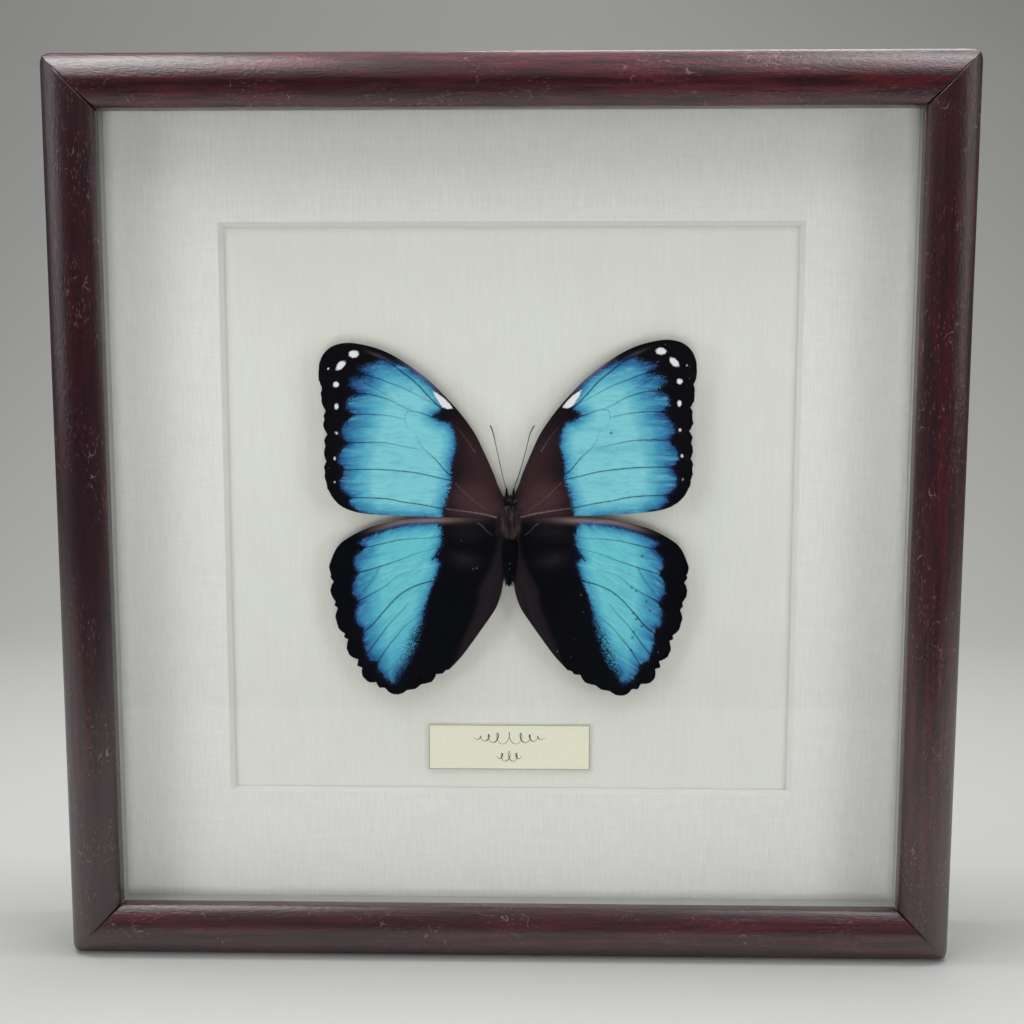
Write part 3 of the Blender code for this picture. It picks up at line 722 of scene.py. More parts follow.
FOREWING_FOLDS = (
    (((33.6, 31.8), (36.7, 32.8), (39.2, 32.9), (42.4, 32.4), (45.2, 31.8)), 0.0, 0.6),
    (((31.0, 25.7), (36.9, 26.1), (41.4, 25.9), (46.2, 24.7)), 0.0, 0.6),
    (((35.0, 17.6), (40.2, 17.6), (47.3, 17.1)), 0.0, 0.65),
    (((35.0, 10.2), (42.0, 9.9), (47.3, 9.7)), 0.0, 0.65),
    (((36.0, 3.2), (40.5, 3.4), (44.0, 4.0)), 0.0, 0.4),
)
FOREWING_PALE = (
    (((9.3, 18.7), (12.0, 22.8), (15.3, 26.7)), 0.5, 0.1),
    (((3.4, 0.2), (7.0, 1.1), (12.0, 1.9), (17.6, 2.7)), 0.9, 0.5),
    (((6.1, 2.4), (10.5, 5.6), (14.9, 9.9)), 0.3, 0.35),
    (((19.6, 11.6), (24.0, 12.9), (29.0, 13.7)), 0.0, 0.3),
)
# Spots as centre, half length, half width and slant in degrees.
FOREWING_SPOTS = (
    (42.8, 46.3, 1.4, 0.95, -6), (46.5, 43.2, 1.6, 0.85, -44), (48.0, 37.9, 0.8, 0.75, 0),
    (48.0, 31.8, 0.55, 0.8, 0), (48.2, 24.4, 0.35, 0.45, -30), (48.8, 17.2, 0.33, 0.42, 0),
    (49.0, 10.6, 0.2, 0.22, 0), (50.0, 42.3, 0.25, 0.25, 0),
)
FOREWING_PATCH = (
    (15.3, 31.0), (16.3, 32.3), (17.8, 33.9), (19.4, 35.1), (20.9, 35.9), (19.9, 33.8), (18.3, 31.4),
    (16.8, 30.7),
)
HINDWING_BLUE = (
    (18.9, -4.7), (19.4, -2.6), (20.6, -1.7), (25.5, -1.8), (30.0, -2.5), (34.1, -3.5), (38.2, -4.8),
    (41.0, -6.1), (42.8, -7.4), (41.0, -8.5), (43.8, -11.4), (44.1, -13.6), (42.9, -16.1),
    (44.4, -18.6), (44.7, -21.6), (42.8, -24.2), (43.9, -27.4), (43.6, -30.2), (41.6, -32.2),
    (41.6, -35.6), (41.0, -38.4), (39.9, -41.3), (37.8, -41.8), (37.3, -44.3), (35.0, -47.0),
    (32.8, -47.9), (31.4, -44.6), (29.6, -41.0), (28.0, -37.0), (26.2, -32.5), (24.9, -29.5),
    (23.6, -25.0), (22.0, -20.0), (20.4, -16.3), (19.5, -13.2), (20.9, -11.3), (20.1, -9.9),
    (19.0, -7.2),
)
HINDWING_VEINS = (
    (((12.0, -4.6), (20.0, -5.5), (23.9, -5.9), (26.8, -6.0), (31.6, -6.5), (34.8, -7.3), (37.9, -8.0),
      (44.0, -9.6)), 0.3, 0.9),
    (((12.0, -7.0), (18.9, -8.4), (22.1, -9.2), (25.9, -10.2), (31.6, -12.4), (36.1, -13.9),
      (39.6, -15.0), (46.0, -16.8)), 0.15, 1.0),
    (((25.3, -14.3), (31.7, -16.9), (34.9, -19.5), (38.7, -21.8), (45.0, -25.2)), 0.15, 1.0),
    (((14.0, -16.8), (20.3, -18.0), (22.3, -18.3), (25.5, -19.2), (28.5, -20.5), (31.0, -22.2),
      (33.5, -24.6), (36.5, -28.0), (39.1, -31.0), (44.0, -35.0)), 0.9, 0.9),
    (((28.8, -24.6), (30.8, -27.2), (33.4, -29.9), (36.0, -33.1), (39.0, -37.2), (42.0, -41.0)), 0.4, 1.0),
    (((24.0, -26.8), (26.7, -28.7), (29.3, -31.0), (32.0, -34.1), (34.8, -37.6), (37.0, -41.0),
      (39.5, -45.0)), 0.35, 1.0),
    (((25.8, -31.5), (28.0, -35.0), (30.5, -39.5), (33.5, -46.0)), 0.2, 0.5),
    (((18.2, -4.5), (19.4, -8.8), (21.8, -12.2)), 0.9, 1.0),
)
HINDWING_FOLDS = (
    (((36.6, -13.9), (38.4, -17.3), (41.6, -21.4)), 0.5, 0.6),
    (((30.0, -9.2), (36.0, -10.6), (42.6, -12.2)), 0.0, 0.5),
    (((33.0, -15.2), (38.0, -17.6), (43.6, -20.4)), 0.0, 0.4),
)
HINDWING_PALE = (
    (((20.0, -13.4), (26.0, -14.6), (31.5, -15.6), (36.0, -17.4)), 0.2, 0.3),
    (((21.6, -10.4), (27.0, -12.8), (32.0, -13.6)), 0.2, 0.3),
    (((25.0, -22.0), (29.0, -24.2), (31.4, -27.0)), 0.0, 0.3),
    (((8.6, -1.6), (7.4, -2.4), (6.2, -3.8), (4.6, -5.0)), 0.6, 0.3),
)
# Where scales are missing from the right hindwing.
RIGHT_HINDWING_DOTS = (
    (36.3, -20.8), (39.3, -23.8), (40.4, -26.4), (35.5, -27.2), (36.5, -29.0), (38.1, -30.9),
    (35.8, -32.7), (35.4, -34.3), (35.0, -37.9), (38.0, -10.8), (35.1, -19.9),
)
# Where the hindwing's inner side folds over, grey-brown towards the body.
HINDWING_CREASE = (
    (3.6, -6.0), (5.3, -13.0), (7.5, -17.2), (8.8, -20.0), (9.7, -25.2), (12.0, -31.0), (14.6, -37.5),
    (16.5, -43.0),
)


def smooth_line(points, steps):
    """A Catmull-Rom line through the points, with the ends kept."""
    ends = [points[0]] + list(points) + [points[-1]]
    line = []
    for i in range(1, len(ends) - 2):
        p0, p1, p2, p3 = (np.array(p, float) for p in ends[i - 1:i + 3])
        for step in range(steps):
            t = step / steps
            line.append(0.5 * (
                2 * p1 + (p2 - p0) * t + (2 * p0 - 5 * p1 + 4 * p2 - p3) * t * t
                + (3 * p1 - p0 - 3 * p2 + p3) * t ** 3
            ))
    line.append(np.array(points[-1], float))
    return np.array(line)


def even_line(line, step):
    """The same line with its points about one step apart."""
    lengths = np.concatenate([[0.0], np.cumsum(np.linalg.norm(np.diff(line, axis=0), axis=1))])
    goals = np.linspace(0, lengths[-1], max(2, int(round(lengths[-1] / step)) + 1))
    return np.stack([np.interp(goals, lengths, line[:, n]) for n in range(line.shape[1])], 1)


def ragged_margin(line, notches, chance):
    """The outer margin with its notches, and the small gaps between tufts of fringe."""
    along = np.gradient(line, axis=0)
    along /= np.linalg.norm(along, axis=1)[:, None]
    inward = np.stack([along[:, 1], -along[:, 0]], 1)
    travelled = np.concatenate([[0.0], np.cumsum(np.linalg.norm(np.diff(line, axis=0), axis=1))])
    push = np.zeros(len(line))
    for place, depth in notches:
        near = np.clip(1 - np.abs(travelled - place) / NOTCH_REACH, 0, None)
        push = np.maximum(push, depth * near ** NOTCH_SHARPNESS)
    tufts = chance.uniform(-0.1, 0.1, len(line))
    tufts[0] = tufts[-1] = 0
    return line + inward * (push + tufts)[:, None]


def distance_to(places, line):
    """Distance from each place to a line, and how far along it the nearest point is, from 0 to 1."""
    nearest = np.full(len(places), 1e9)
    share = np.zeros(len(places))
    lengths = np.concatenate([[0.0], np.cumsum(np.linalg.norm(np.diff(line, axis=0), axis=1))])
    for k in range(len(line) - 1):
        run = line[k + 1] - line[k]
        length = max(float(run @ run), 1e-12)
        t = np.clip((places - line[k]) @ run / length, 0, 1)
        away = np.linalg.norm(places - line[k] - t[:, None] * run, axis=1)
        closer = away < nearest
        nearest = np.where(closer, away, nearest)
        share = np.where(closer, (lengths[k] + t * math.sqrt(length)) / lengths[-1], share)
    return nearest, share


def within(places, outline):
    """Whether each place lies inside a closed outline."""
    inside = np.zeros(len(places), bool)
    for a, b in zip(outline, np.roll(outline, -1, axis=0)):
        crosses = (a[1] > places[:, 1]) != (b[1] > places[:, 1])
        rise = b[1] - a[1] if b[1] != a[1] else 1e-12
        inside ^= crosses & (places[:, 0] < a[0] + (b[0] - a[0]) * (places[:, 1] - a[1]) / rise)
    return inside


def depth_inside(places, outline):
    """Distance to a closed outline, positive inside it and negative outside."""
    outline = np.array(outline, float)
    away, _ = distance_to(places, np.vstack([outline, outline[:1]]))
    return np.where(within(places, outline), away, -away)


def darkness_of(places, lines, reach):
    """How strongly each place is marked by the lines, each with its strength at both ends."""
    strongest = np.zeros(len(places))
    for points, first, last in lines:
        away, share = distance_to(places, smooth_line(points, 6))
        strength = (first + (last - first) * share) * np.exp(-(away / reach) ** 2)
        strongest = np.maximum(strongest, strength)
    return strongest


def hump(places, x, z, reach_x, reach_z, turn=0.0):
    """A soft round patch, 1 at its centre and 0 well outside."""
    angle = math.radians(turn)
    dx = places[:, 0] - x
    dz = places[:, 1] - z
    u = (dx * math.cos(angle) + dz * math.sin(angle)) / reach_x
    v = (dz * math.cos(angle) - dx * math.sin(angle)) / reach_z
    return np.exp(-(u * u + v * v))


def dotted(places, dots):
    """Small round marks about the given points, 1 at their centres."""
    strongest = np.zeros(len(places))
    for x, z in dots:
        strongest = np.maximum(strongest, hump(places, x, z, DOT_REACH, DOT_REACH))
    return strongest


def membrane(outline, lines, chance):
    """Triangles that fill the outline, with points along every vein: places and faces."""
    places = [np.array(p) for p in outline]
    edges = []
    for points, _, _ in lines:
        vein = even_line(smooth_line(points, 6), EDGE_STEP)
        vein = vein[within(vein, outline)]
        first = len(places)
        places += list(vein)
        edges += [(first + k, first + k + 1) for k in range(len(vein) - 1)]
    fixed = np.array(places)
    low = outline.min(0)
    high = outline.max(0)
    rows = np.arange(low[1], high[1], WING_GRAIN * math.sqrt(0.75))
    grid = []
    for number, z in enumerate(rows):
        xs = np.arange(low[0] + (number % 2) * WING_GRAIN / 2, high[0], WING_GRAIN)
        grid.append(np.stack([xs, np.full(len(xs), z)], 1))
    grid = np.vstack(grid)
    grid += chance.uniform(-0.04, 0.04, grid.shape)
    grid = grid[depth_inside(grid, outline) > WING_GRAIN * 0.6]
    clear = np.ones(len(grid), bool)
    for start in range(0, len(fixed), 64):
        away = np.linalg.norm(grid[:, None] - fixed[None, start:start + 64], axis=2).min(1)
        clear &= away > WING_GRAIN * 0.55
    places += list(grid[clear])
    loop = list(range(len(outline)))
    found = delaunay_2d_cdt([Vector(p) for p in places], edges, [loop], 1, 1e-5)
    return np.array([tuple(p) for p in found[0]]), [tuple(face) for face in found[2]]


def wing_outline(costa, margin, notches, inner, chance):
    """The wing's outline from its root, along the front edge, the notched margin and the inner edge."""
    leading = even_line(smooth_line(costa, 8), EDGE_STEP)
    outer = ragged_margin(even_line(smooth_line(margin, 8), EDGE_STEP * 0.8), notches, chance)
    trailing = even_line(smooth_line(inner, 8), EDGE_STEP)
    if inner[-1] == costa[0]:
        trailing = trailing[:-1]
    return np.vstack([leading[:-1], outer[:-1], trailing])


def make_wing(name, marks, side, tilt):
    """A wing with both faces, raised veins, and its markings stored on its points."""
    chance = np.random.default_rng(marks["seed"] + (0 if side > 0 else 50))
    edge = wing_outline(*marks["outline"], chance)
    plan, faces = membrane(edge, marks["veins"] + marks["folds"] + marks["pale"], chance)
    ink = darkness_of(plan, marks["veins"], VEIN_DARK)
    ridge = darkness_of(plan, [(line, 1, 0.6) for line, _, _ in marks["veins"]], RIDGE_REACH)
    crease = darkness_of(plan, [(line, 0.6, 1) for line, _, _ in marks["folds"]], FOLD_REACH)
    rim = depth_inside(plan, edge)
    rise = RIDGE_RISE * ridge - FOLD_DIP * crease + marks["ripple"](plan)
    turned = plan.copy()
    if tilt:
        angle = math.radians(tilt)
        offset = plan - np.array(FOREWING_ROOT)
        turned[:, 0] = FOREWING_ROOT[0] + offset[:, 0] * math.cos(angle) - offset[:, 1] * math.sin(angle)
        turned[:, 1] = FOREWING_ROOT[1] + offset[:, 0] * math.sin(angle) + offset[:, 1] * math.cos(angle)
    x = WINGS_X + side * turned[:, 0] * MM
    z = CENTRE.z + turned[:, 1] * MM
    thin = WING_THICKNESS * np.clip(rim / THINNING_REACH, THINNEST_SHARE, 1)
    y_front = marks["front"] - rise * MM
    top = np.stack([x, y_front, z], 1)
    under = np.stack([x, y_front + thin, z], 1)
    count = len(plan)
    if side > 0:
        faces = [tuple(reversed(face)) for face in faces]
    shown = [tuple(reversed(face)) for face in faces]
    hidden = [tuple(n + count for n in face) for face in faces]
    used = dict.fromkeys(edge for face in shown for edge in zip(face, face[1:] + face[:1]))
    walls = [(b, a, a + count, b + count) for a, b in used if (b, a) not in used]
    wing = make_mesh(name, np.vstack([top, under]), shown + hidden + walls, sharp=50)
    stored = {
        "ink": ink,
        "fold_painted_shade": darkness_of(plan, marks["folds"], FOLD_SHADE_REACH),
        "pale": darkness_of(plan, marks["pale"], PALE_REACH),
        "blue": depth_inside(plan, marks["blue"]),
        "rim": rim,
        "dots": dotted(plan, marks["dots"] if side > 0 else ()),
        **{key: make(plan) for key, make in marks["areas"].items()},
    }
    for key, values in stored.items():
        layer = wing.data.attributes.new(key, "FLOAT", "POINT")
        layer.data.foreach_set("value", np.concatenate([values, values]).astype(np.float32))
    where = np.zeros((2 * count, 3), np.float32)
    where[:, :2] = np.vstack([plan, plan])
    where[:, 2] = 40 + 40 * side
    layer = wing.data.attributes.new("plan", "FLOAT_VECTOR", "POINT")
    layer.data.foreach_set("vector", where.ravel())
    return wing


def spot_depth(places, spots, patch):
    """How far inside a white marking each place is, in millimetres."""
    best = depth_inside(places, patch)
    for x, z, half_length, half_width, slant in spots:
        angle = math.radians(slant)
        u = (places[:, 0] - x) * math.cos(angle) + (places[:, 1] - z) * math.sin(angle)
        v = (places[:, 1] - z) * math.cos(angle) - (places[:, 0] - x) * math.sin(angle)
        scale = np.hypot(u / half_length, v / half_width)
        best = np.maximum(best, (1 - scale) * min(half_length, half_width))
    return best


def crease_side(places):
    """How far each place lies on the body's side of the hindwing's crease, in millimetres."""
    line = smooth_line(HINDWING_CREASE, 6)
    away, _ = distance_to(places, line)
    edge_x = np.interp(-places[:, 1], -line[:, 1], line[:, 0])
    return np.where(places[:, 0] < edge_x, away, -away)


FOREWING_MARKS = {
    "seed": 11,
    "front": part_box("forewing_right")[0].y,
    "outline": (FOREWING_COSTA, FOREWING_MARGIN, FOREWING_NOTCHES, FOREWING_INNER),
    "veins": FOREWING_VEINS,
    "folds": FOREWING_FOLDS,
    "pale": FOREWING_PALE,
    "blue": FOREWING_BLUE,
    "dots": ((29.0, 23.8),),
    "ripple": lambda p: (
        0.16 * np.sin(p[:, 0] / 7.5) * np.sin(p[:, 1] / 6.0) + 0.10 * np.sin(p[:, 0] / 3 + p[:, 1] / 4)
    ),
    "areas": {
        "white": lambda p: spot_depth(p, FOREWING_SPOTS, FOREWING_PATCH),
        "brown": lambda p: np.clip(
            0.55 * hump(p, 8, 16, 6, 12, -25) + hump(p, 11, 6, 6, 4.5) + 0.6 * hump(p, 5, 2, 6, 3)
            + 0.35 * hump(p, 14, 1.2, 5, 1.4), 0, 1),
        "buff": lambda p: 0.75 * hump(p, 24, 40.6, 8, 0.9, 40) + 0.2 * hump(p, 36, 45.8, 3, 0.4, 22),
        "soft": lambda p: 0.2 + 0.2 * hump(p, 16.5, 5, 3, 6) + 0.35 * hump(p, 42, 40, 6, 8),
        "deep": lambda p: 0.2 + 0.8 * np.clip((p[:, 0] - 30) / 13 + (p[:, 1] - 24) / 40, 0, 1),
    },
}
HINDWING_MARKS = {
    "seed": 23,
    "front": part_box("hindwing_right")[0].y,
    "outline": (HINDWING_COSTA, HINDWING_MARGIN, HINDWING_NOTCHES, HINDWING_INNER),
    "veins": HINDWING_VEINS,
    "folds": HINDWING_FOLDS,
    "pale": HINDWING_PALE,
    "blue": HINDWING_BLUE,
    "dots": RIGHT_HINDWING_DOTS,
    "ripple": lambda p: (
        0.14 * np.sin(p[:, 0] / 6 + 1) * np.sin(p[:, 1] / 6.5) + 0.35 * np.clip(crease_side(p) / 3, 0, 1)
        + 0.08 * np.sin(p[:, 0] / 2.6 - p[:, 1] / 3)
    ),
    "areas": {
        "white": lambda p: np.full(len(p), -9.0),
        "brown": lambda p: np.clip(
            0.5 * np.clip(crease_side(p) / 1.6, 0, 1) * (0.9 + 0.1 * np.sin(crease_side(p) * 2.3))
            + 0.45 * hump(p, 12.5, -12, 4, 2, 15)
            + 0.7 * hump(p, 11, -0.6, 9, 1.3) + 0.3 * hump(p, 12, -4, 5, 2.4), 0, 1),
        "buff": lambda p: hump(p, 23, -0.9, 9, 0.85, -3) + 0.5 * hump(p, 34, -2.4, 5, 0.8, -14),
        "soft": lambda p: 0.18 + 1.1 * hump(p, 27.5, -38, 3.2, 9, 25) + 0.2 * hump(p, 19, -8, 3, 8),
        "deep": lambda p: 0.15 + 0.6 * np.clip((p[:, 0] - 33 - (p[:, 1] + 20) / 6) / 8, 0, 1),
    },
}


def scaled_wing(name, black, brown, bright, slant):
    """Rows of tiny scales: bright blue over the band, matt brown-black round it, white in the spots."""
    wing = Finish(name, Specular_IOR_Level=0.08)

    def stored(key, output="Fac"):
        return wing.add("Attribute", attribute_type="GEOMETRY", attribute_name=key).outputs[output]

    where = stored("plan", "Vector")
    turned = wing.add("Mapping", {"Vector": where, "Rotation": (0, 0, math.radians(slant))}).outputs["Vector"]
    spread = wing.add("Mapping", {"Vector": turned, "Scale": (0.22, 1, 1)}).outputs["Vector"]
    scales = wing.noise(where, 0.3, 4, 0.7)
    dust = wing.noise(where, 0.16, 2, 0.6)
    cloud = wing.noise(spread, 2.6, 3, 0.55, 0.4)
    rays = wing.noise(spread, 0.7, 3, 0.55)
    one = wing.add("SeparateColor", {0: wing.cells(where, 0.2, output="Color")}).outputs[0]
    # The band's edge breaks up into single scales over the width stored as "soft".
    blue = stored("blue")
    loose = wing.sum("SUBTRACT", wing.plus(one, dust), 1.0)
    jitter = wing.times(loose, wing.times(stored("soft"), 3.6))
    inside = wing.plus(wing.plus(blue, jitter), wing.times(wing.sum("SUBTRACT", rays, 0.5), 0.8))
    band = wing.fade(inside, -0.1, 0.25)
    # The blue deepens towards the band's edge, most of all on the outer side.
    drift = wing.times(wing.sum("SUBTRACT", cloud, 0.5), 5.0)
    reach = wing.plus(wing.times(stored("deep"), 9.0), 0.9)
    depth = wing.sum("DIVIDE", wing.plus(inside, wing.times(drift, stored("deep"))), reach)
    colour = wing.mix(wing.fade(depth, 0.0, 0.3), tone("244E84"), tone("3A88B2"))
    colour = wing.mix(wing.fade(depth, 0.2, 0.9), colour, bright[0])
    colour = wing.mix(wing.fade(depth, 0.7, 1.7), colour, bright[1])
    colour = wing.mix(wing.fade(cloud, 0.5, 0.7, 0, 0.5), colour, bright[0])
    # Painted highlight and painted shade: pale and dark streaks along the wrinkles that the relief raises
    # from the same rays.
    colour = wing.mix(wing.fade(rays, 0.52, 0.8, 0, 0.3), colour, tone("A5DDE4"))
    colour = wing.mix(wing.fade(rays, 0.48, 0.25, 0, 0.3), colour, tone("3D92B4"))
    ground = wing.mix(wing.fade(scales, 0.3, 0.7), black[0], black[1])
    earth = wing.mix(wing.fade(scales, 0.3, 0.7), brown[0], brown[1])
    ground = wing.mix(stored("brown"), ground, earth)
    buff = wing.mix(wing.fade(blue, -1.6, -0.2), tone("A98D86"), tone("8E8FC0"))
    ground = wing.mix(wing.times(stored("buff"), wing.fade(dust, 0.25, 0.6)), ground, buff)
    violet = wing.times(wing.fade(inside, -0.8, -0.1), wing.fade(one, 0.5, 0.8, 0, 0.5))
    ground = wing.mix(violet, ground, tone("2B3264"))
    flecks = wing.fade(wing.cells(where, 3.1), 0.055, 0.03)
    ground = wing.mix(wing.times(flecks, wing.fade(cloud, 0.45, 0.6)), ground, tone("B9BFC4"))
    pale = wing.times(wing.sum("POWER", stored("pale"), 1.5), wing.fade(dust, 0.3, 0.6, 0.1, 0.9))
    ground = wing.mix(pale, ground, tone("A89C9B"))
    colour = wing.mix(wing.times(stored("pale"), 0.8), colour, tone("B8E6EA"))
    # Painted shade darkens the blue along the folds.
    fold_shade = wing.times(stored("fold_painted_shade"), wing.fade(rays, 0.3, 0.6, 0.4, 1.0))
    colour = wing.mix(fold_shade, colour, tone("1F4C7C"))
    crumbs = wing.fade(wing.cells(where, 1.5), 0.13, 0.06)
    crumbs = wing.times(crumbs, wing.fade(cloud, 0.5, 0.64, 0, 0.7))
    crumbs = wing.sum("MAXIMUM", crumbs, stored("dots"))
    colour = wing.mix(crumbs, colour, tone("10243D"))
    line = wing.times(wing.sum("POWER", stored("ink"), 1.5), wing.fade(scales, 0.3, 0.6, 0.7, 1.8))
    colour = wing.mix(line, colour, tone("08142A"))
    colour = wing.mix(band, ground, colour)
    white = wing.fade(wing.plus(stored("white"), wing.times(loose, 0.3)), -0.12, 0.14)
    colour = wing.mix(white, colour, tone("E6E8EA"))
    wing.set("Base Color", colour)
    wing.set("Roughness", wing.fade(band, 0, 1, 0.42, 0.5))
    wrinkles = wing.plus(wing.times(rays, 2.0), wing.times(cloud, 3.0))
    wing.relief(wing.plus(scales, wrinkles), 0.00008, 0.6)
    return wing.material


def brown_underside(name):
    """The underside, matt brown with a paler outer third."""
    under = Finish(name, Roughness=0.7, Specular_IOR_Level=0.2)
    where = under.add("Attribute", attribute_type="GEOMETRY", attribute_name="plan").outputs["Vector"]
    rim = under.add("Attribute", attribute_type="GEOMETRY", attribute_name="rim").outputs["Fac"]
    ink = under.add("Attribute", attribute_type="GEOMETRY", attribute_name="ink").outputs["Fac"]
    scales = under.noise(where, 0.4, 4, 0.6)
    colour = under.mix(under.fade(scales, 0.3, 0.7), tone("3A2A25"), tone("57433A"))
    colour = under.mix(under.fade(rim, 2.0, 5.0, 0.5, 0.0), colour, tone("8A7766"))
    under.set("Base Color", under.mix(ink, colour, tone("2A1D1A")))
    under.relief(scales, 0.00008, 0.5)
    return under.material


forewing_top = scaled_wing(
    "Forewing scales", (tone("060609"), tone("0D0C12")), (tone("33232A"), tone("503639")),
    (tone("5FB4CC"), tone("82D0DB")), 0,
)
hindwing_top = scaled_wing(
    "Hindwing scales", (tone("030305"), tone("070912")), (tone("241D22"), tone("3A3034")),
    (tone("55AFC9"), tone("6CC8D5")), 35,
)
underside = brown_underside("Wing underside")
for side, word in ((-1, "left"), (1, "right")):
    for kind, marks, top, tilt in (
        ("forewing", FOREWING_MARKS, forewing_top, side * FOREWING_TILT),
        ("hindwing", HINDWING_MARKS, hindwing_top, 0),
    ):
        wing = make_wing(f"{kind}_{word}_scaled", marks, side, tilt)
        wing.data.materials.append(top)
        wing.data.materials.append(underside)
        half = len(wing.data.vertices) // 2
        for face in wing.data.polygons:
            if face.vertices[0] >= half and len(face.vertices) == 3:
                face.material_index = 1
        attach(wing, "root")
        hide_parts(f"{kind}_{word}")


# ---- Body ----
# A dried body in three parts, bristly head, furred thorax and tapered abdomen, glued by its
# underside to the cork. The fur lies back along the thorax and spreads over the wing roots.

BODY_X = 0.6 * MM
BODY_Y = -1.4 * MM
# Stations in millimetres: height, sideways shift, half width, half depth.
BODY_STATIONS = (
    (6.3, 0.0, 0.4, 0.5), (6.0, 0.0, 0.9, 1.1), (5.2, 0.0, 1.5, 1.6), (4.4, 0.1, 1.65, 1.7),
    (3.6, 0.1, 1.5, 1.6), (2.4, 0.1, 1.9, 2.2), (0.6, 0.1, 2.1, 2.7), (-1.8, 0.1, 2.2, 2.9),
    (-4.2, 0.1, 2.0, 2.5), (-5.6, 0.1, 1.6, 1.9), (-7.4, 0.0, 2.1, 1.9), (-11.0, 0.0, 2.1, 1.8),
    (-15.0, -0.1, 1.6, 1.4), (-18.0, -0.3, 0.75, 0.8), (-19.7, -0.4, 0.15, 0.2),
)
BODY_SIDES = 28
ABDOMEN_START = -6
SEGMENT_LENGTH = 1.9
SEGMENT_PINCH = 0.05
# Dust between two heights and two angles round the body, and how many specks.
DUST = (
    (3.9, 6.6, (25, 155), 26), (-6.5, 3.5, (25, 155), 10), (-12.9, -12.3, (82, 96), 4),
    (-19.0, -6.5, (25, 155), 5),
)


def make_body():
    """The body's skin, with the abdomen's rings pinched between its segments."""
    stations = smooth_line(BODY_STATIONS, 6)
    points = []
    for height, shift, half_width, half_depth in stations:
        ring = 1.0
        if height < ABDOMEN_START:
            swell = abs(math.sin(math.pi * (height - ABDOMEN_START) / SEGMENT_LENGTH))
            ring = 1 - SEGMENT_PINCH * swell ** 6
        for n in range(BODY_SIDES):
            turn = 2 * math.pi * n / BODY_SIDES
            points.append((
                BODY_X + (shift + half_width * ring * math.cos(turn)) * MM,
                BODY_Y - half_depth * ring * math.sin(turn) * MM,
                CENTRE.z + height * MM,
            ))
    faces = tube_faces(len(stations), BODY_SIDES, turned_over=True)
    return make_mesh("body_skin", points, faces, sharp=70)


def make_hairs(name, roots, tips, width, spread, chance, bow=0.0):
    """Tapered hairs of three sides, in millimetres from the body's middle, each bowed forward."""
    widths = chance.uniform(*spread, len(roots)) * width * MM
    body_place = np.array([BODY_X, BODY_Y, CENTRE.z])
    roots = np.array(roots) * MM + body_place
    tips = np.array(tips) * MM + body_place
    bend = np.array([0, -bow * MM, 0])
    run = tips - roots
    length = np.linalg.norm(run, axis=1)[:, None]
    along = run / length
    across = np.cross(along, np.array([0.3, -0.9, 0.2]))
    across /= np.linalg.norm(across, axis=1)[:, None]
    lift = np.cross(across, along)
    layers = []
    for share, thick in ((0.0, 1.0), (0.4, 0.85), (0.75, 0.55)):
        centre = roots + run * share + bend * math.sin(math.pi * share)
        for n in range(3):
            turn = 2 * math.pi * n / 3
            offset = across * math.cos(turn) + lift * math.sin(turn)
            layers.append(centre + offset * widths[:, None] * thick / 2)
    layers.append(tips)
    points = np.stack(layers, 1).reshape(-1, 3)
    faces = []
    for hair in range(len(roots)):
        first = hair * 10
        faces.append((first, first + 1, first + 2))
        for ring in (0, 3):
            for n in range(3):
                a = first + ring + n
                b = first + ring + (n + 1) % 3
                faces.append((a, a + 3, b + 3, b))
        for n in range(3):
            faces.append((first + 6 + n, first + 9, first + 6 + (n + 1) % 3))
    return make_mesh(name, points, faces, sharp=80)


def body_at(height):
    """The body's sideways shift, half width and half depth at a height, in millimetres."""
    heights = [-row[0] for row in BODY_STATIONS]
    return [float(np.interp(-height, heights, [row[n] for row in BODY_STATIONS])) for n in (1, 2, 3)]


def fur_coat(name, count, heights, length, width, lean, chance, front_only=True, rounding=0.0):
    """Hairs rooted on the body between two heights, leaning up or down by lean and out from the skin."""
    roots = []
    tips = []
    for _ in range(count):
        turn = math.radians(chance.uniform(*((10, 170) if front_only else (0, 360))))
        height = chance.uniform(heights[0] + rounding * math.cos(turn) ** 2, heights[1])
        shift, half_width, half_depth = body_at(height)
        out = np.array([math.cos(turn), -math.sin(turn), 0.0])
        root = np.array([shift + half_width * 0.96 * out[0], half_depth * 0.96 * out[1], height])
        far = chance.uniform(*length)
        way = out * chance.uniform(0.15, 0.5) + np.array([out[0] * 0.2, 0, lean])
        way += chance.normal(0, 0.12, 3)
        tip = root + way / np.linalg.norm(way) * far
        roots.append(root)
        tips.append(tip)
    return make_hairs(name, roots, tips, width, (0.7, 1.3), chance, bow=0.1)


def palps(chance):
    """Two upright tufts in front of the head, of stiff hairs that close to a point."""
    roots = []
    tips = []
    for side in (-1, 1):
        for _ in range(210):
            height = chance.uniform(5.2, 8.3)
            spread = 0.34 * (9.3 - height) / 3.0
            x = side * (0.85 + 0.08 * (height - 6)) + chance.normal(0, spread * 0.5)
            y = -1.2 + chance.normal(0, spread * 0.5)
            roots.append((x, y, height - 0.5))
            sway = (chance.normal(0, 0.16), chance.normal(0, 0.16))
            tips.append((x + sway[0], y + sway[1], height + chance.uniform(0.2, 0.6)))
    return make_hairs("head_palps", roots, tips, 0.1, (0.8, 1.3), chance)


def dust_motes(chance):
    """Pale specks of dust and loose scales, caught in the head's bristles and on the abdomen."""
    roots = []
    tips = []
    for low, high, turns, count in DUST:
        for _ in range(count):
            height = chance.uniform(low, high)
            shift, half_width, half_depth = body_at(height)
            turn = math.radians(chance.uniform(*turns))
            root = np.array([
                shift + (half_width + 0.5) * math.cos(turn), -(half_depth + 0.75) * math.sin(turn), height,
            ])
            roots.append(root)
            tips.append(root + chance.normal(0, 1, 3) * 0.2)
    return make_hairs("body_dust", roots, tips, 0.11, (0.6, 1.4), chance)


